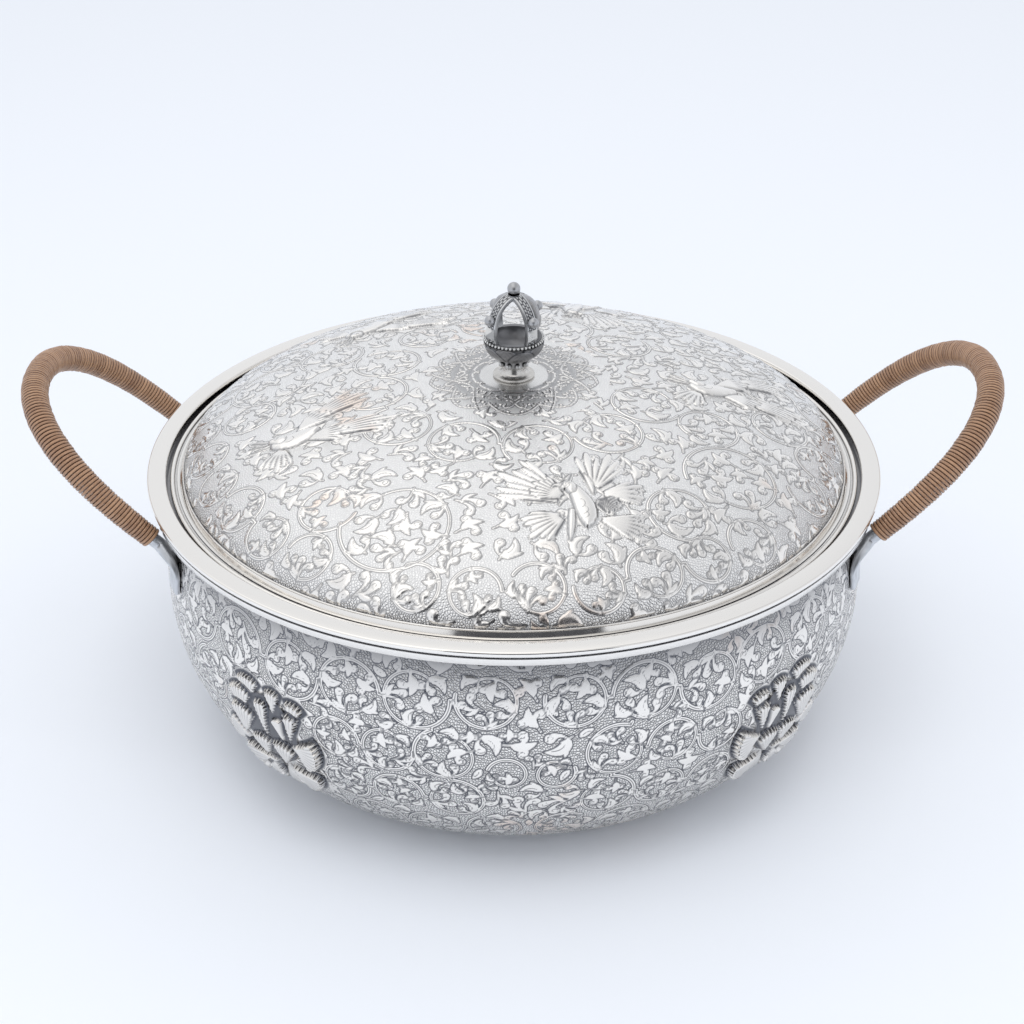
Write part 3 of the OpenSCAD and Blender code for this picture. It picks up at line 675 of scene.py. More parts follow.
LEAF_BERRY = {
    "strokes": [STEM, lobe((0.0, 0.1), (-0.44, 0.20), (-0.38, 0.64), 0.46),
                leaf((0, 0.1), (0.62, 0.50), (0.02, 1.16), 0.48),
                leaf((0.20, 0.34), (0.52, 0.40), (0.70, 0.66), 0.20)],
    "lines": [curl((-0.38, 0.62), 0.16, 60, 290), curve((0.16, 0.32), (0.36, 0.56), (0.16, 0.9), 5)],
}
SINGLE_LEAF = {
    "strokes": [leaf((0, -0.05), (0.16, 0.5), (-0.02, 1.05), 0.52)],
    "lines": [curve((0.05, 0.18), (0.12, 0.5), (0.02, 0.76), 4)],
}
SPRIGS = [TREFOIL, BUD_PAIR, LEAF_BERRY]
LONGEST_SPRIG = 6.6
SMALL_SCROLL = 6.5
SCROLL_SWEEP = np.radians(300)
SCROLL_TIGHTENS = 0.22
HEAD_SHARE = 0.58
SPRIG_SHARES = (0.72, 0.62, 0.54)
SMALL_SPRIG_SHARES = (0.85,)
SPRIG_LEANS = np.array([-0.7, 0.1, 0.7])
LEAST_ROOM = 0.32


def stamp(sheet, sprig, at, angle, size, flip=1):
    """Draws a sprig from its base at a point, along an angle in radians, at a length in millimetres."""
    up = np.array([np.cos(angle), np.sin(angle)])
    side = flip * np.array([up[1], -up[0]])
    axes = size * np.stack([side, up])
    lay(sheet, [(np.array(at) + points @ axes, radii * size) for points, radii in sprig["strokes"]])
    for points in sprig["lines"]:
        engrave(sheet, np.array(at) + points @ axes)


def scroll(sheet, centre, radius, start, turn, width, rng):
    """One scroll: a vine that leaves its neighbour at an angle, winds round and ends in a leafy head. The
    vine is a spiral, r = radius (1 - tightening t^3), through five sixths of a turn. Sprigs stand on it and
    point inwards, each where the most room is left."""
    sweep = turn * SCROLL_SWEEP

    def on_vine(t):
        """Points of the spiral at shares of its length, and the angles that they are seen at."""
        a = start + sweep * t
        r = radius * (1 - SCROLL_TIGHTENS * t ** 3)
        return np.array(centre) + r[:, None] * headings(a), a

    t = np.linspace(0, 1, 46)
    line, a = on_vine(t)
    draw_vine(sheet, line, np.full(len(t), width / 2) * (1 - 0.3 * t))
    head = min(HEAD_SHARE * radius, LONGEST_SPRIG)
    stamp(sheet, LEAF_BERRY, line[-1], a[-1] + turn * (np.pi / 2 + 0.3), head, turn)
    shares, leans = np.meshgrid(np.linspace(0.06, 0.9, 28), turn * SPRIG_LEANS)
    base, seen = on_vine(shares.ravel())
    angle = seen + np.pi + leans.ravel()
    way = headings(angle)
    lengths = SPRIG_SHARES if radius > SMALL_SCROLL else SMALL_SPRIG_SHARES
    for kind, length in zip(rng.permutation(3), lengths):
        size = min(length * radius, LONGEST_SPRIG)
        middle = base + 0.6 * size * way
        room = sheet.read("edge", middle[:, 0], middle[:, 1])
        best = room.argmax()
        if room[best] > LEAST_ROOM * size:
            stamp(sheet, SPRIGS[kind], base[best], angle[best], size, rng.choice([-1, 1]))


def fill_gaps(sheet, allowed, least, largest, rng, limit):
    """Sets sprigs into the widest gaps that are left, each turned the way that has the most room."""
    thin = 4
    where = np.argwhere(allowed[::thin, ::thin]) * thin
    turns = np.linspace(0, 2 * np.pi, 12, endpoint=False)
    ways = headings(turns)
    for _ in range(limit):
        room = sheet.edge[where[:, 0], where[:, 1]]
        widest = room.argmax()
        if room[widest] < least:
            break
        i, j = where[widest]
        size = min(1.75 * room[widest], largest)
        middle = np.array([sheet.x[j], sheet.y[i]])
        ends = [sheet.read("edge", *(middle + share * size * ways).T) for share in (0.55, -0.5)]
        best = np.minimum(*ends).argmax()
        kind = SPRIGS[rng.integers(3)] if size > 4.2 else SINGLE_LEAF
        stamp(sheet, kind, middle - 0.5 * size * ways[best], turns[best], size, rng.choice([-1, 1]))


print("sprigs", len(SPRIGS))

# %% [markdown]
# ## Peonies and birds
# These stand out in high relief. A petal is a fan with a toothed edge that rises towards its tip, and each
# later petal covers part of the ones before it, with oxide and painted shade left under its edge; the petals
# sit on a dark bed of the same, and each is given painted shade towards its root. A bird is built the way a
# chaser builds one: tail and wing feathers first, then the short feathers over their roots, and the body
# and head last.

# %% Peony
TOOTH_DEPTH = 1.3
RECESS_WIDTH = 1.4
PETAL_RISE = 0.5
JAG_LENGTH = 1.4
BED_UP = 1.0
BED_HALF_WIDTH = 11.0
BED_HALF_HEIGHT = 13.0
BED_LEVEL = 0.9
# Each petal: x, y, angle, inner and outer radius, half spread, height and teeth
PEONY_PETALS = (
    (0, -12, 240, 3, 15.0, 22, 1.3, 6), (2.5, -11, 272, 3, 13.0, 24, 1.4, 6),
    (-10, -11, 170, 3, 12.5, 36, 1.4, 8), (-8, 6, 92, 4, 11.5, 31, 1.4, 9),
    (2.5, 6, 92, 3, 10.8, 21, 1.6, 6), (9, 6, 78, 3, 9.8, 27, 1.8, 6),
    (-11, 1, 94, 3, 11.6, 34, 1.9, 9), (8.5, -1, 86, 2, 12.0, 17, 2.1, 5),
    (-0.5, -3, 97, 1, 15.0, 13, 2.3, 4), (6.5, -1, 105, 1, 9.0, 15, 2.4, 0),
    (-11.5, -8, 88, 3, 14.0, 29, 2.3, 9), (8, -1, -12, 1, 11.0, 50, 2.6, 11),
    (4, -11, -34, 2, 13.5, 32, 2.4, 9), (-3, -13, 97, 3, 11.0, 30, 2.5, 8),
    (4.5, -12, 84, 2, 11.0, 30, 2.8, 8), (2, -11, 204, 1, 18.0, 26, 2.6, 7),
    (-2, -13, 252, 1, 9.0, 30, 2.4, 6),
)


def clear_under(sheet, part, covered):
    """Takes the low ornament away where high relief covers it."""
    sheet.edge[part] = np.where(covered, -1.2, sheet.edge[part])
    sheet.line[part] = np.where(covered, FAR, sheet.line[part])
    sheet.mid[part] = np.where(covered, FAR, sheet.mid[part])


def paint_petal(sheet, hub, angle, inner, outer, spread, height, teeth):
    """A fan-shaped petal about a hub. With q the turn from its axis as a share of its spread, its far edge
    is r = outer (1 - 0.08 q^2) + depth (cos(pi teeth q) - 1) / 2, its sides are jagged, and it rises to its
    tip."""
    part, r, turn = sheet.around(hub, outer + 3, angle)
    q = turn / spread
    flute = np.cos(np.pi * teeth * q)
    share = unit((r - inner) / (outer - inner))
    smooth_edge = outer * (1 - 0.08 * q ** 2)
    far_edge = smooth_edge + 0.5 * min(TOOTH_DEPTH, 0.14 * outer) * (flute - 1)
    side = (np.abs(turn) - 0.92 * spread * (0.75 + 0.25 * share)) * np.maximum(r, 1)
    jags = (0.3 - 0.3 * np.cos(2 * np.pi * r / JAG_LENGTH)) * (teeth > 0)
    gap = np.maximum(np.maximum(r - far_edge, side + jags), inner - r)
    around = np.maximum(np.maximum(r - smooth_edge, side), inner - r)
    behind = np.abs(turn) > 1.5
    gap[behind] = FAR
    around[behind] = FAR
    inside = gap < 0
    rise = height - PETAL_RISE * (1 - share) ** 1.4 - 0.06 * q ** 2 + 0.06 * flute * share ** 2
    rise -= 0.15 * unit(1 + gap / 0.5) ** 2
    under = sheet.high[part]
    sunk = np.where(np.maximum(around, 0) < RECESS_WIDTH, np.minimum(under, 0.5 * height), under)
    sheet.high[part] = np.where(inside, np.maximum(rise, 0.4), sunk)
    ribs = np.clip(-flute - 0.45, 0, 0.5) * unit(2 * share - 0.3)
    # Painted shade towards the root of each petal, as in a deep cup.
    cupped = 0.3 * unit(1 - 4 * share)
    shade = 0.1 + np.maximum(0.8 * ribs, cupped)
    # Oxide and painted shade in the recess just outside each petal's edge.
    recess = 0.95 * unit(2.2 * (1 - around / RECESS_WIDTH)) * unit(0.5 + 1.3 * share)
    sheet.shade[part] = np.where(inside, shade, np.maximum(sheet.shade[part], recess))
    clear_under(sheet, part, np.minimum(gap, around) < 0.8 * RECESS_WIDTH)


def paint_peony(sheet, centre, lean):
    """A peony: petals from the back to the front, each a fan about its own root, on a dark oval bed of oxide
    and painted shade.
    """
    middle = np.array(centre) + np.array([0, BED_UP])
    part, x, y = sheet.window(middle - BED_HALF_HEIGHT, middle + BED_HALF_HEIGHT)
    bed = np.hypot((x - middle[0]) / BED_HALF_WIDTH, (y - middle[1]) / BED_HALF_HEIGHT) < 1
    sheet.high[part] = np.where(bed, BED_LEVEL, sheet.high[part])
    # The bed is oxide and painted shade in the gaps between the petals.
    sheet.shade[part] = np.where(bed, 0.9, sheet.shade[part])
    clear_under(sheet, part, bed)
    for x, y, angle, inner, outer, spread, height, teeth in PEONY_PETALS:
        hub = np.array(centre) + np.array([lean * x, y])
        turn = np.radians(90 + lean * (angle - 90))
        paint_petal(sheet, hub, turn, inner, outer, np.radians(spread), height, teeth)


print("petals", len(PEONY_PETALS))

# %% Bird


def paint_feather(sheet, points, radii, peak):
    """A feather: a stroke with a domed section, peak (0.4 + 0.6 sqrt(1 - q^2)), q being the share of its
    half width. A dark line stays along its edge."""
    spare = radii.max() + 1.0
    part, x, y = sheet.window(points.min(0) - spare, points.max(0) + spare)
    if not x.size:
        return
    distance, q = chain_distance(x, y, points, radii)
    inside = distance < 0
    height = peak * (0.4 + 0.6 * np.sqrt(unit(1 - q ** 2)))
    sheet.high[part] = np.where(inside, height, sheet.high[part])
    rim = 0.7 * unit(1.4 * (1 - np.abs(distance - 0.05) / 0.36))
    sheet.shade[part] = np.where(inside, rim, np.maximum(sheet.shade[part], rim))
    clear_under(sheet, part, distance < 0.4)


def paint_fan(sheet, root, angle, spread, inner, outer, feathers, notch, peak, ribs_from):
    """A fan of feathers about a root. With u the place across one feather from -1 to 1, its far edge is
    outer - notch |u|^2.5. It is highest past its middle, and thin dark ribs part the feathers."""
    part, r, turn = sheet.around(root, outer + 2, angle)
    phase = np.clip((turn / spread + 1) / 2 * feathers, 0, feathers - 1e-6)
    u = 2 * (phase % 1) - 1
    uneven = 1 + 0.1 * np.sin(2.3 * np.floor(phase) + 3 * angle)
    far_edge = uneven * outer * (1 - 0.14 * (turn / spread) ** 2) - notch * np.abs(u) ** 2.5
    gap = np.maximum(np.maximum(r - far_edge, (np.abs(turn) - spread) * r), inner - r)
    share = unit((r - inner) / (outer - inner))
    inside = gap < 0
    rise = 0.85 * peak * np.sin(np.pi * (0.22 + 0.58 * share)) * (0.82 + 0.18 * np.sqrt(1 - u ** 2))
    half_width = np.maximum(r * spread / feathers, 0.2)
    between = unit(1.5 - (1 - np.abs(u)) * half_width / 0.2)
    ribs = 0.85 * between * unit((share - ribs_from) / 0.15)
    rim = 0.9 * unit(1.8 * (1 - gap / 0.6)) * (gap < 0.6)
    sheet.high[part] = np.where(inside, rise, sheet.high[part])
    sheet.shade[part] = np.where(inside, ribs, np.maximum(sheet.shade[part], rim))
    clear_under(sheet, part, gap < 0.5)


# Each fan: x, y, angle, half spread, inner and outer radius, feathers, notch, peak and where its ribs start
FACING_FANS = (
    (-4, -4.5, 210, 36, 2.5, 13.5, 7, 2.0, 0.8, 0.2), (-3, 0, 147, 28, 4, 23.0, 7, 7.0, 0.7, 0.0),
    (4, 5.5, 78, 34, 2.5, 18.0, 6, 6.0, 0.9, 0.1), (5.5, 4.5, 10, 28, 2, 13.5, 5, 2.6, 1.0, 0.55),
    (4.5, -5.5, -14, 26, 2, 15.0, 7, 2.8, 1.0, 0.55), (-4, 2, 150, 34, 2, 11.0, 8, 1.2, 1.0, 0.3),
    (4, 1.5, -15, 36, 1, 7.5, 9, 0.5, 1.2, 0.0),
)
# Each stroke: the start, middle and end of its curve, its half widths and its peak
FACING_STROKES = (
    ((1.6, 13), (3.6, 9.5), (4.0, 5), (0.3, 0.7, 0.9, 0.8, 0.4), 0.5),
    ((-2.6, -3), (-2.8, -9), (-3.4, -14.4), (0.9, 1.1, 1.1, 1.0, 0.8, 0.4), 1.0),
    ((-4.0, 8), (-4.2, 10.4), (-7.4, 11.4), (0.5, 0.6, 0.6, 0.5, 0.2), 0.9),
    ((-4.0, 8), (-4.2, 10.4), (-5.0, 13.2), (0.5, 0.6, 0.6, 0.5, 0.2), 0.9),
    ((-4.0, 8), (-4.2, 10.4), (-2.4, 13.0), (0.5, 0.6, 0.6, 0.5, 0.2), 0.9),
    ((1.8, -8.4), (2.8, -1), (-2.6, 7.4), (1.1, 2.2, 2.9, 3.2, 3.2, 3.0, 2.6, 2.2, 1.8), 1.4),
    ((-2.6, 5.4), (-2.2, 8.4), (-4.6, 7.2), (1.5, 1.6, 1.7, 1.8, 1.9, 1.8), 1.6),
    ((-6.0, 7.4), (-7.4, 7.6), (-8.2, 6.4), (0.8, 0.7, 0.5, 0.2), 1.2),
)
# Each curl: its middle, radius, start and sweep
FACING_CURLS = (((-3.9, 6.9), 1.5, 30, 480), ((-0.6, 0), 2.6, -70, 150), ((0.6, -2.6), 2.4, -90, 150),
                ((1.0, -4.6), 2.0, -90, 140))
GLIDING_FANS = (
    (-1.0, 5.0, 44, 12, 3, 28.0, 6, 4.5, 1.2, 0.45), (3.5, -1.0, 15, 12, 3, 29.0, 6, 4.5, 1.2, 0.45),
    (-2.5, -2.5, 262, 36, 2, 12.0, 6, 3.0, 1.0, 0.25), (0.5, 4.0, 50, 26, 1, 13.0, 7, 2.4, 1.3, 0.55),
    (4.0, -1.0, 12, 26, 1, 13.0, 7, 2.4, 1.3, 0.55),
)
GLIDING_STROKES = (
    ((-7, 0.8), (-10, 2.2), (-14, 2.8), (0.5, 0.5, 0.4, 0.2), 0.7),
    ((-7, 0.2), (-10, 0.4), (-14.5, 0.2), (0.5, 0.5, 0.4, 0.2), 0.7),
    ((-6.5, -0.4), (-9, -1.4), (-13, -2.4), (0.5, 0.5, 0.4, 0.2), 0.7),
    ((-5, -1.8), (1, -1), (7, 4), (1.8, 2.9, 3.6, 3.8, 3.5, 2.6, 1.4), 1.5),
    ((-4, 0.4), (-5, 1), (-6.6, 0.4), (2.1, 2.1, 1.6, 1.1), 1.6),
)
GLIDING_CURLS = (((-5.2, 0.8), 1.0, 30, 400), ((-0.5, 0.2), 2.4, -120, 150))
BIRD_KINDS = {"facing": (FACING_FANS, FACING_STROKES, FACING_CURLS),
              "gliding": (GLIDING_FANS, GLIDING_STROKES, GLIDING_CURLS)}


def paint_bird(sheet, at, rotation, flip, kind):
    """A bird about 40 mm across: fans for wings and tail, strokes for body and head, and curls."""
    fans, strokes, curls = BIRD_KINDS[kind]
    cos_r, sin_r = np.cos(np.radians(rotation)), np.sin(np.radians(rotation))
    axes = np.array([[flip * cos_r, flip * sin_r], [-sin_r, cos_r]])
    for x, y, angle, spread, inner, outer, feathers, notch, peak, ribs_from in fans:
        heading = np.radians(rotation + (angle if flip > 0 else 180 - angle))
        root = np.array(at) + np.array([x, y]) @ axes
        paint_fan(sheet, root, heading, np.radians(spread), inner, outer, feathers, notch, peak, ribs_from)
    for start, middle, end, radii, peak in strokes:
        line = np.array(at) + curve(start, middle, end, len(radii)) @ axes
        paint_feather(sheet, line, np.asarray(radii, float), peak)
    for middle, radius, start, sweep in curls:
        engrave(sheet, np.array(at) + curl(middle, radius, start, sweep, 18) @ axes)


print("bird kinds", sorted(BIRD_KINDS))

# %% [markdown]
# ## Laying out the bowl
# The wall unrolls into a sheet: across is the turn from the front times a mean radius, up is the length
# along the wall from the edge of the base. The scrolls mirror about the front, their leaves fall as the
# chaser liked, and the back repeats the front. Rows of scrolls run round the wall, each touching the next,
# with a peony in the middle of each quarter.

# %% Bowl layout
BASE_R = 71.1
BELLY_Z = 55.0
NECK_R = 112.0
MEAN_R = 113.0
PATTERN_TURN = 1.7
VINE_WIDTH = 1.05
LONGEST_LINK = 2.0
AXIS_ROOM = 3.2
PEONY_AT = (82.3, 68.0)
SKIN_LOW_Z = 1.0


def bowl_wall(count):
    """The wall's outside as arrays over its length: a quarter ellipse from the base to the belly, then a
    parabola in to the neck."""
    a = np.linspace(0, np.pi / 2, count)
    low = np.stack([BASE_R + (belly_r - BASE_R) * np.sin(a), BELLY_Z * (1 - np.cos(a))], 1)
    z = np.linspace(BELLY_Z, bowl_h, count)[1:]
    share = (z - BELLY_Z) / (bowl_h - BELLY_Z)
    high = np.stack([belly_r - (belly_r - NECK_R) * share ** 2, z], 1)
    outline = np.concatenate([low, high])
    return outline, run_length(outline)


bowl_outline, bowl_length = bowl_wall(400)
quarter = MEAN_R * np.pi / 2
bowl_sheet = Sheet((-quarter - 4, 0), (quarter + 4, bowl_length[-1] + 1), SHEET_PITCH)
rng = np.random.default_rng(7)
BOWL_SCROLLS = [
    (12.5, 97.4, 8.9), (32.6, 96.4, 9.8), (53.0, 95.0, 9.6), (73.0, 94.8, 9.9), (95.0, 95.0, 10.2),
    (116.4, 95.4, 9.8), (137.4, 94.8, 9.8), (157.8, 95.4, 9.4),
    (24.4, 78.4, 8.9), (41.4, 77.2, 7.8), (57.6, 76.0, 7.6), (110.4, 75.2, 9.0), (129.6, 76.0, 9.2),
    (149.0, 76.0, 9.2), (168.0, 77.6, 8.6),
    (7.0, 72.2, 5.6), (22.2, 60.2, 8.6), (39.4, 59.4, 7.8), (56.6, 58.2, 7.6), (109.4, 56.4, 8.8),
    (128.4, 57.0, 9.2), (147.6, 57.0, 9.2), (166.6, 58.4, 8.8),
    (10.6, 43.6, 8.8), (30.0, 42.0, 9.2), (49.6, 40.8, 9.2), (69.0, 38.6, 9.0), (88.0, 36.8, 9.0),
    (107.2, 37.4, 9.2), (126.8, 38.0, 9.2), (146.4, 38.0, 9.2), (165.6, 39.4, 9.0),
    (12.6, 23.6, 9.8), (33.8, 22.0, 10.0), (55.4, 21.0, 10.2), (77.0, 19.0, 10.2), (98.6, 18.0, 10.2),
    (120.2, 18.6, 10.2), (141.8, 18.4, 10.2), (163.2, 19.4, 10.0),
]


def lay_scrolls(sheet, scrolls, width, generator):
    """Draws each scroll from the nearest one before it, turning the other way, so that the vine runs on in
    an S. Where the two don't touch, a short link joins them."""
    placed, turns = [], []
    for centre_x, centre_y, radius in scrolls:
        centre = np.array([centre_x, centre_y])
        towards, turn = np.array([-1.0, 0.2]), 1
        if placed:
            gaps = [np.hypot(*(centre - p[0])) - radius - p[1] for p in placed]
            parent = int(np.argmin(gaps))
            towards = placed[parent][0] - centre
            towards /= np.hypot(*towards)
            turn = -turns[parent]
            if 0 < gaps[parent] < LONGEST_LINK:
                link = centre + np.outer([radius, radius + gaps[parent]], towards)
                draw_vine(sheet, link, np.full(2, width / 2))
        scroll(sheet, centre, radius, np.arctan2(towards[1], towards[0]), turn, width, generator)
        placed.append((centre, radius))
        turns.append(turn)


for side in (-1, 1):
    lay_scrolls(bowl_sheet, [(side * x, y, radius) for x, y, radius in BOWL_SCROLLS], VINE_WIDTH, rng)
clear_of_axis = np.abs(bowl_sheet.x) < quarter - AXIS_ROOM
allowed = np.broadcast_to(clear_of_axis, bowl_sheet.edge.shape)
fill_gaps(bowl_sheet, allowed, least=2.3, largest=7.5, rng=rng, limit=900)
for side in (-1, 1):
    paint_peony(bowl_sheet, (side * PEONY_AT[0], PEONY_AT[1]), -side)
print("bowl sheet", bowl_sheet.edge.shape, "raised share", round(float((bowl_sheet.edge < 0).mean()), 2))

# %% [markdown]
# ## Laying out the lid
# The dome unrolls from its top like an orange peel: the distance along the dome becomes the distance from
# the middle of the sheet, and the turn stays the turn. Five birds fly round it, with scrolls between them,
# and a lacy rosette surrounds the knob.

# %% Lid layout
DOME_POWER = 1.93
KNOB_SEAT_R = 10.5
ROSETTE_R = 31.0
LID_VINE_WIDTH = 1.0


def dome_curve(radius, height, start_r, count):
    """A superellipse over the lid's foot, (r/radius)^p + (z/height)^p = 1, from a radius out to its
    edge."""
    a = np.linspace(np.arccos((start_r / radius) ** (DOME_POWER / 2)), 0, count)
    power = 2 / DOME_POWER
    return np.stack([radius * np.cos(a) ** power, dome_z + height * np.sin(a) ** power], 1)


dome_h = (foot_z - dome_z) / (1 - (KNOB_SEAT_R / dome_r) ** DOME_POWER) ** (1 / DOME_POWER)
dome_outline = dome_curve(dome_r, dome_h, KNOB_SEAT_R, 1200)
dome_length = KNOB_SEAT_R + run_length(dome_outline)
lid_reach = dome_length[-1]
lid_sheet = Sheet((-lid_reach - 2,) * 2, (lid_reach + 2,) * 2, SHEET_PITCH)


def on_lid(turn, distance):
    """A point of the lid's sheet from its turn off the front, in degrees, and its distance."""
    a = np.radians(turn)
    return np.array([distance * np.sin(a), -distance * np.cos(a)])


lid_rng = np.random.default_rng(11)
BIRDS = [(14.5, 74, 0, 1, "facing"), (-67, 76, -4, 1, "gliding"), (89, 64, -22, 1, "gliding"),
         (162, 74, 150, 1, "facing"), (-134, 73, -120, -1, "gliding")]
BIRD_ROOM = 14.0
LARGE_SCROLLS = [(-25, 85, 17.0), (52, 84, 15.0), (126, 82, 16.0), (-169, 84, 16.0), (-100, 82, 15.0)]
SCROLL_ROWS = [(36, 103.8, 8.3), (24, 86.5, 10.0), (18, 66.5, 10.8), (12, 45.5, 11.0)]


def lid_scroll_list():
    """Large scrolls between the birds, then rows round the lid where nothing else is yet."""
    birds = [(on_lid(turn, distance), BIRD_ROOM) for turn, distance, *_ in BIRDS]
    taken = birds + [(on_lid(turn, distance), radius) for turn, distance, radius in LARGE_SCROLLS]
    chosen = [(*place, radius) for place, radius in taken[len(birds):]]
    for count, distance, radius in SCROLL_ROWS:
        for k in range(count):
            place = on_lid(360 * (k + 0.3) / count, distance + lid_rng.uniform(-1.2, 1.2))
            size = radius * lid_rng.uniform(0.92, 1.06)
            if all(np.hypot(*(place - other)) > 0.86 * (size + room) for other, room in taken):
                chosen.append((*place, size))
    return chosen


lid_scrolls = lid_scroll_list()
lay_scrolls(lid_sheet, lid_scrolls, LID_VINE_WIDTH, lid_rng)
gx, gy = np.meshgrid(lid_sheet.x, lid_sheet.y)
from_middle = np.hypot(gx, gy)
allowed = (from_middle > ROSETTE_R) & (from_middle < lid_reach - 2)
fill_gaps(lid_sheet, allowed, least=3.0, largest=7.0, rng=lid_rng, limit=700)
for turn, distance, rotation, flip, kind in BIRDS:
    paint_bird(lid_sheet, on_lid(turn, distance), rotation, flip, kind)


def rounded(points, rounds=3):
    """Rounds a line: each round cuts its corners at a quarter and three quarters of each link."""
    points = np.asarray(points, float)
    for _ in range(rounds):
        cut = np.stack([0.75 * points[:-1] + 0.25 * points[1:], 0.25 * points[:-1] + 0.75 * points[1:]], 1)
        points = np.concatenate([points[:1], cut.reshape(-1, 2), points[-1:]])
    return points


ROSETTE_FIELDS = 9
ROSETTE_LINE_R = 0.36
ROSETTE_DOT_R = 0.55
ROSETTE_OXIDE = 0.55
ROSETTE_STROKES = (
    ((-6.6, 26.5), (-4.2, 24.6), (0.0, 20.0), (3.2, 16.4), (5.4, 15.6), (5.9, 17.6), (4.4, 18.2)),
    ((0.0, 20.0), (1.8, 23.2), (3.8, 22.2), (3.0, 20.6)),
    ((0.0, 13.2), (2.4, 13.6), (4.2, 12.8), (4.6, 11.4)),
    ((0.0, 27.2), (4.0, 26.2), (7.0, 23.0), (8.4, 21.0)),
    ((0.0, 18.2), (1.5, 16.6), (1.1, 15.2), (0.3, 15.6)),
)
ROSETTE_DOTS = ((4.5, 21.2), (2.3, 18.4), (5.9, 22.4), (4.2, 24.4), (2.2, 25.2), (2.7, 15.2))


def smooth_band(value, start, full, end):
    """Rises to 1 within 0.5 past start, stays 1 until full and falls evenly to 0 at end."""
    return unit((value - start) / 0.5) * unit((end - value) / (end - full))


def paint_rosette(sheet):
    """Lace round the knob: crossing scrolls with dots between them in equal fields, on a dark ground."""
    near = from_middle < ROSETTE_R
    for field in (sheet.edge, sheet.line, sheet.mid):
        field[near] = FAR
    for k in range(ROSETTE_FIELDS):
        turn = 360 * k / ROSETTE_FIELDS
        for sign in (-1, 1):
            for stroke in ROSETTE_STROKES:
                across, out = rounded(stroke).T
                a = np.radians(turn) + sign * across / np.maximum(out, 1)
                line = np.stack([out * np.sin(a), -out * np.cos(a)], 1)
                lay(sheet, [(line, np.full(len(line), ROSETTE_LINE_R))])
            for across, out in ROSETTE_DOTS:
                dot = on_lid(turn + sign * np.degrees(across / out), out)
                lay(sheet, [(np.stack([dot, dot + 0.01]), np.full(2, ROSETTE_DOT_R))])
        edge_turn = turn + 180 / ROSETTE_FIELDS
        stamp(sheet, TREFOIL, on_lid(edge_turn, 24.0), np.radians(edge_turn - 90), 5.5)
    inner = smooth_band(from_middle, KNOB_SEAT_R + 0.5, 18.5, 28.0)
    sheet.shade = np.maximum(sheet.shade, ROSETTE_OXIDE * inner * unit((sheet.edge - 0.05) / 0.25))


paint_rosette(lid_sheet)
print("lid sheet", lid_sheet.edge.shape, "reach", round(lid_reach, 1), "scrolls", len(lid_scrolls))

# %% [markdown]
# ## Sheet metal
# Under the chased skins lie the plain sheets: the bowl's inside and base, and the lid's underside. They are
# turned pieces that follow the CAD outlines and stand for those nodes.

# %% Plain sheets
BOWL_WALL = 1.2
DOME_WALL = 1.0
WASHER_R = 6.0
STUD_HOLE_R = 2.1
SHEET_STEPS = 200
pick = np.linspace(0, len(bowl_outline) - 1, 70).astype(int)
outer = bowl_outline[pick]
inner_low = np.stack([BASE_R + (outer[:, 0] - BASE_R) * (belly_r - BASE_R - BOWL_WALL) / (belly_r - BASE_R),
                      BELLY_Z - (BELLY_Z - outer[:, 1]) * (BELLY_Z - BOWL_WALL) / BELLY_Z], 1)
inner_high = np.stack([outer[:, 0] - BOWL_WALL, outer[:, 1]], 1)
inner = np.where(outer[:, 1:] < BELLY_Z, inner_low, inner_high)
outline = np.concatenate([[[0.01, 0]], outer, inner[::-1], [[0.01, BOWL_WALL]]])
turned_piece("bowl_sheet", outline, SHEET_STEPS, "bowl", inside_silver, ["bowl_shell"], 40)
pick = np.linspace(0, len(dome_outline) - 1, 60).astype(int)[::-1]
outer = dome_outline[pick]
inner = dome_curve(dome_r - DOME_WALL, dome_h - DOME_WALL, WASHER_R, 60)
outline = np.concatenate([outer, [[STUD_HOLE_R, foot_z], [STUD_HOLE_R, inner[0, 1]]], inner])
turned_piece("lid_sheet", outline, SHEET_STEPS, "lid", inside_silver, ["lid_dome"], 40)
print("plain sheets made")

# %% [markdown]
# ## Chased skins
# A skin is the sheet's outside with the pattern standing on it: each point of the smooth wall is moved out
# along the wall's own direction by the height that the sheet gives there. Low ornament rises from the edge
# distance, and the peonies and birds have their own height. Six skins go round the bowl and four round the
# lid, so that each stays a handy size. Their directions are worked out on the whole ring first, so no seam
# shows between them.

# %% Skin helpers
GROUND = 0.12
RAISE = 0.11
LID_RAISE = 0.24
TRENCH = 0.04
ENGRAVED = 0.06
SINK = 0.35


def relief(sheet, x, y, raise_by):
    """Height of the pattern: raised motifs with a trench round them, and high relief on top."""
    edge = sheet.read("edge", x, y)
    line = sheet.read("line", x, y)
    height = raise_by * smooth_step(edge, 0.2, -0.3) + 0.4 * raise_by * smooth_step(edge, -0.3, -1.6)
    height -= TRENCH * np.exp(-((edge - 0.25) / 0.22) ** 2)
    height -= ENGRAVED * smooth_step(line, 0.35, 0.0) * (edge < 0)
    high = sheet.read("high", x, y)
    fields = {"edge": edge, "line": line, "mid": sheet.read("mid", x, y), "shade": sheet.read("shade", x, y)}
    fields["sheet"] = np.stack([x, y, 0 * y], -1)
    return GROUND + np.maximum(height, high), fields


def soften(values):
    """Evens out a field: a quarter, a half and a quarter of three neighbours, up and then across."""
    values[1:-1] = 0.25 * values[:-2] + 0.5 * values[1:-1] + 0.25 * values[2:]
    values[:, 1:-1] = 0.25 * values[:, :-2] + 0.5 * values[:, 1:-1] + 0.25 * values[:, 2:]


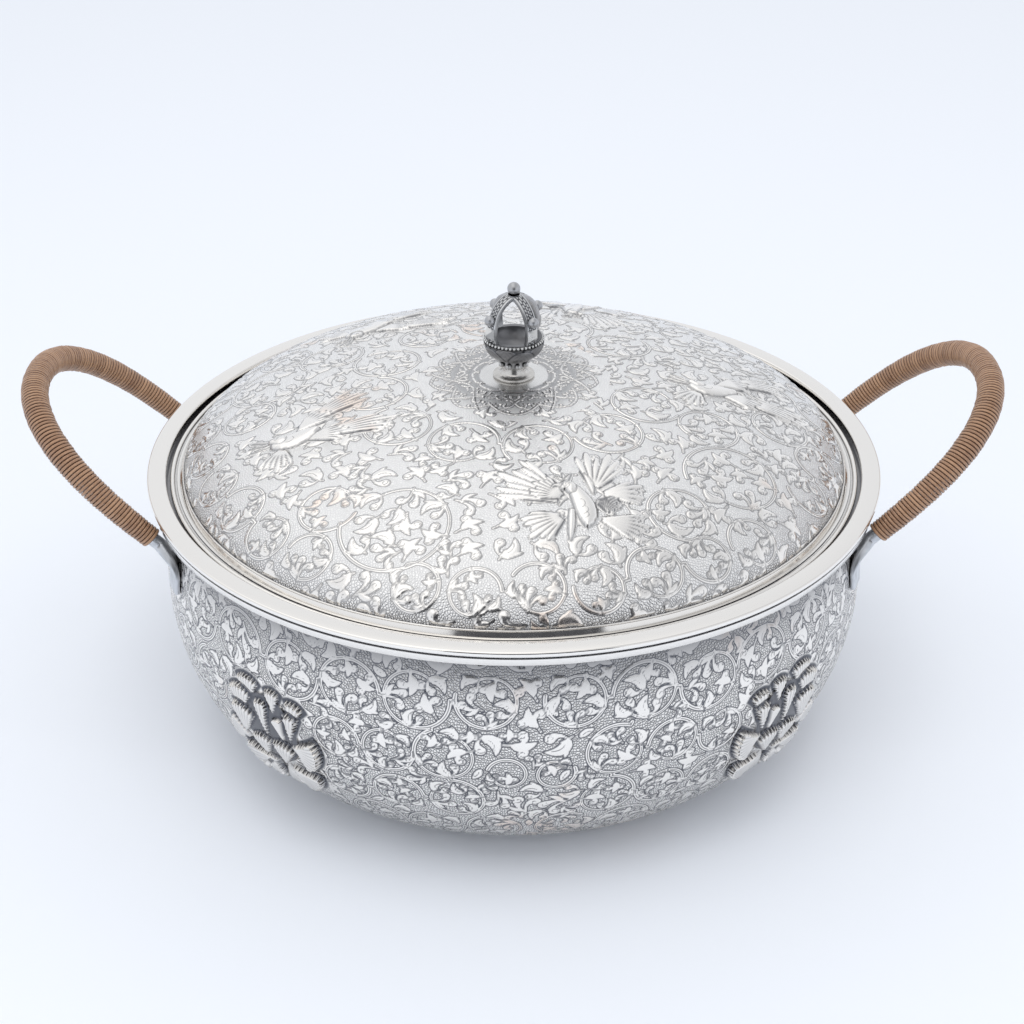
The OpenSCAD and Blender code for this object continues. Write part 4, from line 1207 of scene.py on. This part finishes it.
def skin_pieces(name, points, fields, count, body, material):
    """Cuts a ring of skin points, rows up and columns round with the first column again at the end, into
    pieces that share their border points."""
    around = np.gradient(points, axis=1)
    around[:, 0] = around[:, -1] = points[:, 1] - points[:, -2]
    along = np.gradient(points, axis=0)
    normals = np.cross(around, along)
    normals /= np.maximum(np.linalg.norm(normals, axis=2, keepdims=True), 1e-12)
    columns = points.shape[1] - 1
    for k in range(count):
        take = slice(k * columns // count, (k + 1) * columns // count + 1)
        part = points[:, take]
        quads = grid_faces(part.shape[0], part.shape[1])
        values = {key: value[:, take] for key, value in fields.items()}
        mesh_piece(f"{name}_{k + 1}", part, quads, body, material, fields=values,
                   normals=normals[:, take])
    print(name, count, "pieces of", 2 * len(quads), "triangles")


def wall_directions(outline):
    """Outward directions of an outline of radius and height that runs upwards."""
    run = unit_length(np.gradient(outline, axis=0))
    return np.stack([run[:, 1], -run[:, 0]], 1)


def skin_points(wall, out, height, fade, turn):
    """Points of a skin: the wall moved out by the faded height along its own directions, at turns from the
    front. The first and last rows are sunk under the wall."""
    height = height * fade[:, None]
    height[[0, -1]] = -SINK
    r = wall[:, :1] + height * out[:, :1]
    z = wall[:, 1:] + height * out[:, 1:]
    return np.stack([r * np.sin(turn), -r * np.cos(turn), z], -1)


for sheet in (bowl_sheet, lid_sheet):
    soften(sheet.high)
print("high relief softened")

# %% Bowl skins
ROUGH = 1
BOWL_SECTORS = 6
PEONY_REACH = 18
# Painted shade and painted reflection under the rim: how far down it reaches, how dark it is, and how much
# darker the pebble gaps get.
UNDER_RIM_REACH = 12.0
UNDER_RIM_PAINTED_SHADE = 0.8
BOWL_PITS = 0.8
UNDER_RIM_PAINTED_PITS = 0.18
bowl_rows = 256 // ROUGH
bowl_columns = 1704 // ROUGH


def crowded(low, high, count, places, reach):
    """Values from low to high that stand closer together by half within a reach of some places."""
    even = np.linspace(low, high, 6000)
    near = np.exp(-((even[:, None] - np.array(places)) / reach) ** 6).sum(1)
    total = np.concatenate([[0], np.cumsum(1 + near[1:])])
    return np.interp(np.linspace(0, total[-1], count), total, even)


first = np.interp(SKIN_LOW_Z, bowl_outline[:, 1], bowl_length)
s = crowded(first, bowl_length[-1], bowl_rows, [PEONY_AT[1] - 2], PEONY_REACH)
wall = at_length(s, bowl_length, bowl_outline)
out = at_length(s, bowl_length, wall_directions(bowl_outline))
peony_turn = PEONY_AT[0] / MEAN_R
peony_turns = [peony_turn - np.pi, -peony_turn, peony_turn, np.pi - peony_turn]
turn = crowded(-np.pi, np.pi, bowl_columns + 1, peony_turns, PEONY_REACH / MEAN_R)
folded = np.where(np.abs(turn) > np.pi / 2, np.sign(turn) * np.pi - turn, turn)
sheet_x, sheet_y = np.meshgrid(folded * MEAN_R, s)
height, fields = relief(bowl_sheet, sheet_x, sheet_y, RAISE)
fade = np.minimum(smooth_step(s, first, first + 5), smooth_step(s, bowl_length[-1], bowl_length[-1] - 2.5))
points = skin_points(wall, out, height, fade, turn + np.radians(PATTERN_TURN))
fields["sheet"][..., 0] = turn * MEAN_R
# Painted shade and painted reflection: the wall and its pebble gaps are darkened towards the rim's
# underside, all round.
rim_at = np.interp(rim_low, bowl_outline[:, 1], bowl_length)
under_rim = np.exp(-(np.maximum(rim_at - s, 0) / UNDER_RIM_REACH) ** 1.8)[:, None]
fields["shade"] = np.maximum(fields["shade"], UNDER_RIM_PAINTED_SHADE * under_rim)
fields["pits"] = np.broadcast_to(BOWL_PITS + UNDER_RIM_PAINTED_PITS * under_rim, height.shape)
skin_pieces("bowl_chasing", points, fields, BOWL_SECTORS, "bowl", bowl_silver)

# %% Lid skins
LID_SECTORS = 4
LID_PITS = 0.1
FOOT_PAINTED_PITS = 0.85
FOOT_REACH = 9.0
lid_rows = 238 // ROUGH
lid_columns = 1360 // ROUGH
s = np.linspace(dome_length[0] + 0.2, dome_length[-1], lid_rows)[::-1]
wall = at_length(s, dome_length, dome_outline)
out = wall_directions(wall)
turn = np.linspace(-np.pi, np.pi, lid_columns + 1)
sheet_x = s[:, None] * np.sin(turn)
sheet_y = -s[:, None] * np.cos(turn)
height, fields = relief(lid_sheet, sheet_x, sheet_y, LID_RAISE)
# Painted reflection: the pebble gaps darken towards the lid's foot, all round.
by_foot = np.exp((s - dome_length[-1]) / FOOT_REACH)
fields["pits"] = np.broadcast_to(LID_PITS + FOOT_PAINTED_PITS * by_foot[:, None], height.shape)
foot = dome_length[-1] - 1.6
fade = np.minimum(smooth_step(s, foot, foot - 1.2), smooth_step(s, KNOB_SEAT_R, KNOB_SEAT_R + 1))
points = skin_points(wall, out, height, fade, turn)
skin_pieces("lid_chasing", points, fields, LID_SECTORS, "lid", lid_silver)

# %% [markdown]
# ## Rim and flange
# Both are turned rings with crisp grooves. They repeat the CAD outlines with more steps round, because
# polished metal shows every flat.

# %% Rim ring and lid flange
MOUTH_R = 109.8
RECESS_R = 113.9
SEAT_DEPTH = 3.4
RIM_EDGE_R = 0.6
RIM_FOOT_INSET = 1.0
RIM_FOOT_FLARE = 0.4
GROOVE_DEPTH = 0.5
GROOVE_SHARE = 0.48
RING_STEPS = 360
seat_z = rim_top - SEAT_DEPTH
foot_low_r = rim_r - RIM_FOOT_INSET
foot_top_r = foot_low_r + RIM_FOOT_FLARE
groove_r = foot_top_r - GROOVE_DEPTH
groove_z = rim_low + GROOVE_SHARE * (rim_top - rim_low)
outline = np.concatenate([
    [[MOUTH_R, rim_low], [foot_low_r - 0.15, rim_low], [foot_low_r, rim_low + 0.15], [foot_top_r, groove_z],
     [groove_r, groove_z + 0.25], [groove_r, groove_z + 0.75], [rim_r - 0.25, groove_z + 1.05]],
    arc((rim_r - RIM_EDGE_R, rim_top - RIM_EDGE_R), RIM_EDGE_R, 0, 90, 8),
    arc((RECESS_R + RIM_EDGE_R, rim_top - RIM_EDGE_R), RIM_EDGE_R, 90, 180, 8),
    [[RECESS_R, seat_z], [MOUTH_R, seat_z]]])
turned_piece("rim", outline, RING_STEPS, "bowl", ring_silver, ["rim_ring"], 40)
FLANGE_R = 112.7
BEAD_R = 0.75
FLANGE_LAP = 1.4
flange_in = dome_r - DOME_WALL - FLANGE_LAP
groove_out = FLANGE_R - 2 * BEAD_R
outline = np.concatenate([
    [[flange_in, seat_z], [FLANGE_R, seat_z]],
    arc((FLANGE_R - BEAD_R, dome_z - 0.2), BEAD_R, 0, 180, 14),
    [[groove_out, dome_z - 0.3], [groove_out - 0.8, dome_z - 0.3], [groove_out - 0.8, dome_z],
     [dome_r + 1.25, dome_z], [dome_r + 0.5, dome_z + 1.35]],
    arc((dome_r + 0.15, dome_z + 1.5), 0.35, -25, 120, 6),
    [[dome_r - 0.7, dome_z + 1.6], [flange_in, dome_z]]])
turned_piece("flange", outline, RING_STEPS, "lid", ring_silver, ["lid_flange"], 40)
print("rim and flange turned")

# %% [markdown]
# ## Handles
# Each handle is a bent rod whose ends are hammered into tabs and soldered to the wall, wound with split
# cane for the hand. The middle line is a rounded loop that leans outwards. The rod is one loft of sections
# along it, and the cane is a flattened strand on a long helix round it.

# %% Handle loop
TILT = np.radians(44.2)
LOOP_REACH = 59.4
HALF_SPAN = 39.9
SPAN_POWER = 2.19
REACH_POWER = 2.83
ROOT_X = 110.78
ROOT_Z = 79.7
WRAP_END_D = 7.0
WRAP_D = 8.7
WRAP_START = 4.5
CANE_TURNS = 134
CANE_T = 0.95
CANE_SIDES = 8
STEPS_PER_TURN = 18
TURN_LENGTH = 25.0
loop_up = np.array([-np.sin(TILT), 0, np.cos(TILT)])


def loop_line(count):
    """Points of the loop at even angles: a superellipse in a plane that leans out by the tilt."""
    a = np.linspace(-np.pi / 2, np.pi / 2, count)
    out = LOOP_REACH * unit(np.cos(a)) ** (2 / REACH_POWER)
    y = HALF_SPAN * signed_power(np.sin(a), 2 / SPAN_POWER)
    points = np.stack([ROOT_X + out * np.cos(TILT), y, ROOT_Z + out * np.sin(TILT)], 1)
    return points, run_length(points)


loop_points, loop_lengths = loop_line(2001)
loop_total = loop_lengths[-1]


def on_loop(s):
    """Place, run and sideways direction at distances along the loop."""
    at, ahead, behind = [at_length(s + shift, loop_lengths, loop_points) for shift in (0, 0.5, -0.5)]
    run = unit_length(ahead - behind)
    side = unit_length(np.cross(loop_up, run))
    return at, run, side


def winding_radius(s):
    """Outer radius of the winding, thickest in the middle: end + (middle - end) 4h(1-h), halved."""
    h = unit((s - WRAP_START) / (loop_total - 2 * WRAP_START))
    return (WRAP_END_D + (WRAP_D - WRAP_END_D) * 4 * h * (1 - h)) / 2


def cane_winding(name, mirror, node):
    """One strand of cane wound round the rod: its middle follows the loop and circles it once a turn."""
    q = np.linspace(0, CANE_TURNS, CANE_TURNS * STEPS_PER_TURN + 1)
    turn_number = np.arange(CANE_TURNS + 2)
    pitch = (loop_total - 2 * WRAP_START) / (CANE_TURNS + 1)
    turn_seed = np.random.default_rng(5)
    tones = turn_seed.uniform(0, 1, CANE_TURNS + 2)
    swell = turn_seed.normal(0, 0.05, CANE_TURNS + 2)
    s = WRAP_START + pitch * (q + 0.5)
    at, run, side = on_loop(s)
    angle = 2 * np.pi * q[:, None]
    out = side * np.cos(angle) + loop_up * np.sin(angle)
    radius = winding_radius(s) - CANE_T / 2 + np.interp(q, turn_number, swell)
    middle = at + out * radius[:, None]
    section = 2 * np.pi * (np.arange(CANE_SIDES) + 0.5) / CANE_SIDES
    across = signed_power(np.cos(section), 0.8)
    up = signed_power(np.sin(section), 0.8)
    points = capped(middle[:, None] + run[:, None] * (0.5 * pitch * across)[None, :, None]
                    + out[:, None] * (0.5 * CANE_T * up)[None, :, None])
    q = np.concatenate([q[:1], q, q[-1:]])
    fields = {"tone": np.repeat(np.interp(q, turn_number, tones), CANE_SIDES),
              "along": np.repeat(q * TURN_LENGTH, CANE_SIDES),
              "across": np.tile(np.where(up > 0, across, np.sign(across)), len(q))}
    quads = grid_faces(len(points), CANE_SIDES, False, True)
    if mirror:
        points, quads = mirrored(points, quads)
    mesh_piece(name, points, quads, "bowl", cane, [node], fields)
    print(name, CANE_TURNS, "turns at", round(pitch, 2), "mm")


cane_winding("cane_right", False, "handle_right_wrap")
cane_winding("cane_left", True, "handle_left_wrap")

# %% Handle rods
TAB_TURN = np.radians(22)
TAB_W = 8.5
TAB_T = 1.7
TAB_H = 10.0
TAB_DROP = 2.7
BEND_SHARE = 0.47
BEND_JOIN = 2.0
SEAT_GAP = 0.2
ROD_SIDES = 24
ROD_INSET = 1.1
TAB_POWER = 6


def tab_point(z):
    """Middle of a tab on the wall at a height."""
    way = np.array([np.cos(TAB_TURN), -np.sin(TAB_TURN), 0])
    wall_r = np.interp(z, bowl_outline[:, 1], bowl_outline[:, 0])
    return way * (wall_r + SEAT_GAP + TAB_T / 2)[:, None] + np.array([0, 0, 1.0]) * z[:, None]


def rod_sections():
    """Places, sideways directions, half sizes and squareness of the rod from one tab round to the other."""
    bend_z = ROOT_Z - TAB_DROP
    top_z = bend_z - BEND_SHARE * TAB_H
    tab_side = np.array([np.sin(TAB_TURN), np.cos(TAB_TURN), 0])
    z = np.linspace(bend_z - TAB_H, top_z, 10)[:-1]
    flat = tab_point(z)
    t = np.linspace(0, 1, 14)[:-1, None]
    joint, _, joint_side = on_loop(np.array([BEND_JOIN]))
    corner = tab_point(np.array([top_z, bend_z]))
    bend = (1 - t) ** 2 * corner[0] + 2 * t * (1 - t) * corner[1] + t * t * joint
    s = np.linspace(BEND_JOIN, loop_total - BEND_JOIN, 80)
    at, _, side = on_loop(s)
    rod_r = winding_radius(s) - ROD_INSET - SEAT_GAP
    end_r = rod_r[0]
    ones = np.ones(len(flat))
    place = np.concatenate([flat, bend, at])
    sides = np.concatenate([np.outer(ones, tab_side), tab_side * (1 - t) + joint_side * t, side])
    wide = np.concatenate([ones * TAB_W / 2, (TAB_W / 2 * (1 - t) + end_r * t)[:, 0], rod_r])
    thick = np.concatenate([ones * TAB_T / 2, (TAB_T / 2 * (1 - t) + end_r * t)[:, 0], rod_r])
    square = np.concatenate([ones * TAB_POWER, (TAB_POWER * (1 - t) + 2 * t)[:, 0], np.full(len(s), 2.0)])
    count = len(flat) + len(bend)
    flip = np.array([1, -1, 1])
    place = np.concatenate([place, (place[:count] * flip)[::-1]])
    sides = np.concatenate([sides, (-sides[:count] * flip)[::-1]])
    return place, sides, *[np.concatenate([v, v[:count][::-1]]) for v in (wide, thick, square)]


def handle_rod(name, mirror, node):
    """The rod as a loft: each section is a rounded square, |x|^p + |y|^p = 1, across its own run."""
    place, sides, wide, thick, square = rod_sections()
    run = unit_length(np.gradient(place, axis=0))
    up = unit_length(np.cross(run, sides))
    across = np.cross(up, run)
    a = 2 * np.pi * (np.arange(ROD_SIDES) + 0.5) / ROD_SIDES
    power = (2 / square)[:, None]
    u = signed_power(np.cos(a), power) * wide[:, None]
    v = signed_power(np.sin(a), power) * thick[:, None]
    points = capped(place[:, None] + across[:, None] * u[..., None] + up[:, None] * v[..., None])
    quads = grid_faces(len(points), ROD_SIDES, False, True)
    if mirror:
        points, quads = mirrored(points, quads)
    mesh_piece(name, points, quads, "bowl", grey_silver, [node], sharp=50)


handle_rod("rod_right", False, "handle_right_core")
handle_rod("rod_left", True, "handle_left_core")
print("rods lofted")

# %% [markdown]
# ## Crown knob
# Beads, pearls, studs, ball and foot keep their CAD shapes and get their finishes. The four bands of the
# crown get raised borders with a pebbled middle, and the cup gets two rows of engraved leaves.

# %% Crown bands
FOOT_H = 3.9
COLLAR_H = 2.6
CUP_H = 7.5
BEAD_SEAT_H = 1.1
CROWN_R = 9.9
KNOB_NECK_R = 3.9
CROWN_WALL = 1.1
BAND_W = 3.8
BAND_H = 14.3
BAND_COUNT = 4
BAND_TURN = np.radians(38)
BULGE_Z = 3.6
BULGE_INSET = 0.405
HUB_R = 1.9
BORDER_AT = 0.82
BORDER_LIFT = 0.28
PEBBLE_LIFT = 0.3
BAND_SINK = 0.12
PEBBLES_ACROSS = 2.4
PEBBLE_PITCH = 1.1
cup_z = foot_z + FOOT_H + COLLAR_H
band_z = cup_z + CUP_H
bulge_r = CROWN_R - BULGE_INSET
bulge_h = (BAND_H - BULGE_Z) / np.sqrt(1 - (HUB_R / bulge_r) ** 2)


def band_radius(z, inset=0.0):
    """Radius of the crown at a height over the cup and a depth under its outside: an ellipse."""
    return (bulge_r - inset) * np.sqrt(unit(1 - ((z - BULGE_Z) / (bulge_h - inset)) ** 2))


def crown_band(name, turn):
    """One band of the crown: a section with two raised borders and a pebbled middle, carried up the
    ellipse."""
    z = np.linspace(0, BAND_H, 120)[:, None]
    across = np.linspace(-1, 1, 37)
    border = np.exp(-((np.abs(across) - BORDER_AT) / 0.14) ** 4)
    middle = smooth_step(np.abs(across), 0.68, 0.6)
    brick = 0.5 * np.pi * np.round(PEBBLES_ACROSS * across)
    rows = np.sin(np.pi * z / PEBBLE_PITCH + brick)
    pebbles = np.abs(np.cos(PEBBLES_ACROSS * np.pi * across) * rows) * middle
    lift = BORDER_LIFT * border + PEBBLE_LIFT * pebbles - BAND_SINK
    lift[:, [0, -1]] = 0
    pits = middle * smooth_step(pebbles, 0.5, 0.2) + np.exp(-((np.abs(across) - 0.66) / 0.05) ** 2)
    y = 0.5 * BAND_W * across
    outer = np.sqrt(np.maximum(band_radius(z) ** 2 - y ** 2, 0.0004)) + lift
    inner_y = y[::-4]
    inner = np.sqrt(np.maximum(band_radius(z, CROWN_WALL) ** 2 - inner_y ** 2, 0.0001))
    x = np.concatenate([outer, inner], 1)[..., None]
    side = np.broadcast_to(np.concatenate([y, inner_y]), x.shape[:2])[..., None]
    along = np.array([np.sin(turn), -np.cos(turn), 0])
    beside = np.array([np.cos(turn), np.sin(turn), 0])
    points = capped(x * along + side * beside + (z[..., None] + band_z) * np.array([0, 0, 1.0]))
    oxide = np.full(points.shape[:2], 0.3)
    oxide[1:-1, :len(y)] = np.clip(pits, 0, 0.92)
    quads = grid_faces(len(points), points.shape[1], False, True)
    mesh_piece(name, points, quads, "lid", band_silver, ["knob_arches"],
               {"shade": oxide}, sharp=45)


for k in range(BAND_COUNT):
    crown_band(f"crown_band_{k + 1}", BAND_TURN + 2 * np.pi * k / BAND_COUNT)
print("crown bands", BAND_COUNT)

# %% Crown cup
CUP_LEAVES = 5
CUP_STEPS = 240
LEAF_LIFT = 0.5


def cup_leaves(turn, share):
    """Height and oxide of the cup's leaves: two rows of pointed leaves, the front row over the back one,
    each with lines that follow its edge."""
    height = np.zeros(np.broadcast(turn, share).shape)
    oxide = np.zeros_like(height)
    for row in (0, 1):
        u = 2 * ((CUP_LEAVES * turn / (2 * np.pi) + 0.5 * row) % 1) - 1
        width = 0.98 * np.sqrt(unit(1 - (share / (1.04 - 0.12 * row)) ** 2.6))
        depth = width - np.abs(u)
        rib = np.abs(np.sin(np.pi * depth / 0.24)) ** 0.6
        leaf_height = 0.15 + 0.15 * row + 0.15 * unit(depth / 0.3) + 0.06 * rib
        lines = np.maximum(0.75 * unit(1 - rib / 0.45), 0.9 * unit(1 - depth / 0.07))
        oxide = np.where(depth > 0, lines, np.maximum(oxide, unit(1 + depth / 0.12)))
        height = np.where(depth > 0, leaf_height, height)
    return height, oxide


turn = 2 * np.pi * np.arange(CUP_STEPS)[:, None] / CUP_STEPS
share = np.linspace(0, 1, 56)[None, :]
height, oxide = cup_leaves(turn, share)
fade = np.minimum(smooth_step(share, 0, 0.1), smooth_step(share, 1.0, 0.93))
lift = (height - LEAF_LIFT) * fade
angle = share * np.pi / 2
leaf_r = KNOB_NECK_R + (CROWN_R - KNOB_NECK_R) * np.sin(angle) + lift * np.sin(angle)
leaf_z = cup_z + (CUP_H - BEAD_SEAT_H) * (1 - np.cos(angle)) - lift * np.cos(angle)
mouth_r = band_radius(0, CROWN_WALL) - 0.4
step_r = band_radius(0) + 0.05
a = np.linspace(0, np.pi / 2, 14)
rest_r = np.concatenate([[step_r, step_r], np.maximum(mouth_r * np.cos(a), 0.01)])
rest_z = np.concatenate([[band_z - BEAD_SEAT_H, band_z], band_z - (CUP_H - 2 * CROWN_WALL) * np.sin(a)])
around = np.ones((CUP_STEPS, 1))
r = np.concatenate([0.01 * around, leaf_r, rest_r * around], 1)
z = np.concatenate([cup_z * around, leaf_z, rest_z * around], 1)
oxide = np.concatenate([0 * around, oxide, np.full((CUP_STEPS, len(rest_r)), 0.25)], 1)
points = np.stack([r * np.cos(turn), r * np.sin(turn), z], -1)
quads = grid_faces(*r.shape, True, False)[:, ::-1]
mesh_piece("cup_leaves", points, quads, "lid", cup_silver, ["knob_cup"],
           {"shade": oxide}, sharp=50)
print("cup leaves", 2 * CUP_LEAVES)

# %% Crown finishes
NODE_FINISHES = {
    "knob_foot": foot_silver, "knob_bead_collar": bead_silver, "knob_cup_beads": crown_bright,
    "knob_arch_pearls": crown_grey, "knob_arch_studs": crown_bright, "knob_top_ball": crown_grey,
    "knob_stud": fixing_metal, "knob_washer": fixing_metal, "knob_nut": fixing_metal,
}
for node, material in NODE_FINISHES.items():
    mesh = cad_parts[node].data
    mesh.materials.clear()
    mesh.materials.append(material)
print("finished CAD nodes", len(NODE_FINISHES))

# %% [markdown]
# ## Studio
# The pot stands on a wide pale floor under soft light from all sides. The world lights the scene evenly.
# Where the camera or a reflection looks past the floor, it sees a pale sky that is darker overhead and to
# the right, with one bright strip across the top. One large soft lamp evens out the floor, and a dark card
# behind the camera gives the polished rim its dark reflections.

# %% Floor and light
FLOOR_HALF = 4000.0
FLOOR_COLOUR = (0.86, 0.895, 0.955, 1)
LOW_SKY = (0.85, 0.87, 0.905)
OVERHEAD_LEFT = (0.81, 0.815, 0.825)
OVERHEAD_RIGHT = (0.64, 0.65, 0.67)
STRIP_COLOUR = (1.16, 1.16, 1.16)
STRIP_ACROSS = (0.97, 0.0, 0.25)
EVEN_LIGHT = (0.97, 0.98, 1.0, 1)
EVEN_STRENGTH = 0.93
LAMP_PLACE = Vector((-60, -420, 1300))
LAMP_AIM = Vector((0, -60, 0))
LAMP_SIZE = 850
LAMP_POWER = 4.7
CARD_COLOUR = (0.05, 0.05, 0.055, 1)
CARD_LEFT = -280
CARD_RIGHT = 400
CARD_Y = -820
CARD_TOP = 800


def board(name, corners, material):
    """A flat studio board from its four corners in millimetres."""
    mesh = bpy.data.meshes.new(name)
    mesh.from_pydata((np.array(corners) * MM).tolist(), [], [[0, 1, 2, 3]])
    mesh.materials.append(material)
    made = bpy.data.objects.new(name, mesh)
    bpy.context.scene.collection.objects.link(made)
    return made


floor_material, tree, shader = new_material("pale_floor")
shader.inputs["Base Color"].default_value = FLOOR_COLOUR
shader.inputs["Roughness"].default_value = 0.9
shader.inputs["Specular IOR Level"].default_value = 0.1
corners = np.array([[-1, -1, 0], [1, -1, 0], [1, 1, 0], [-1, 1, 0]]) * FLOOR_HALF
floor = board("floor", corners, floor_material)

world = bpy.data.worlds.new("studio")
bpy.context.scene.world = world
world.use_nodes = True
tree = world.node_tree
tree.nodes.clear()
ray = add(tree, "LightPath")
seen = calc(tree, "ADD", ray.outputs["Is Camera Ray"], ray.outputs["Is Glossy Ray"])
seen = calc(tree, "MINIMUM", calc(tree, "ADD", seen, ray.outputs["Is Transmission Ray"]), 1.0)
looking = add(tree, "TexCoord").outputs["Generated"]
direction = add(tree, "SeparateXYZ", {0: looking})
tall = step_between(tree, direction.outputs[2], 0.25, 0.95)
to_right = step_between(tree, direction.outputs[0], -0.05, 0.45)
overhead = blend_colour(tree, to_right, OVERHEAD_LEFT, OVERHEAD_RIGHT)
sky = blend_colour(tree, tall, LOW_SKY, overhead)
strip = add(tree, "VectorMath", {0: looking, 1: STRIP_ACROSS}, operation="DOT_PRODUCT")
glow = step_between(tree, calc(tree, "ABSOLUTE", strip.outputs["Value"]), 0.5, 0.16)
glow = calc(tree, "MULTIPLY", glow, step_between(tree, direction.outputs[2], 0.55, 0.8))
sky = blend_colour(tree, glow, sky, STRIP_COLOUR)
shown = add(tree, "Background", {"Color": sky, "Strength": 1.0})
lighting = add(tree, "Background", {"Color": EVEN_LIGHT, "Strength": EVEN_STRENGTH})
mixed = add(tree, "MixShader", {0: seen, 1: lighting.outputs[0], 2: shown.outputs[0]})
add(tree, "OutputWorld", {0: mixed.outputs[0]})

lamp_data = bpy.data.lights.new("overhead", "AREA")
lamp_data.shape = "SQUARE"
lamp_data.size = LAMP_SIZE * MM
lamp_data.energy = LAMP_POWER
lamp = bpy.data.objects.new("overhead", lamp_data)
lamp.location = LAMP_PLACE * MM
lamp.rotation_euler = (LAMP_AIM - LAMP_PLACE).to_track_quat("-Z", "Y").to_euler()
lamp.visible_glossy = False
bpy.context.scene.collection.objects.link(lamp)

card_material, tree, shader = new_material("dark_card")
shader.inputs["Base Color"].default_value = CARD_COLOUR
corners = [[CARD_LEFT, CARD_Y, 0], [CARD_RIGHT, CARD_Y, 0],
           [CARD_RIGHT, CARD_Y, CARD_TOP], [CARD_LEFT, CARD_Y, CARD_TOP]]
card = board("card", corners, card_material)
card.visible_camera = False
card.visible_diffuse = False
card.visible_shadow = False
print("studio lit")
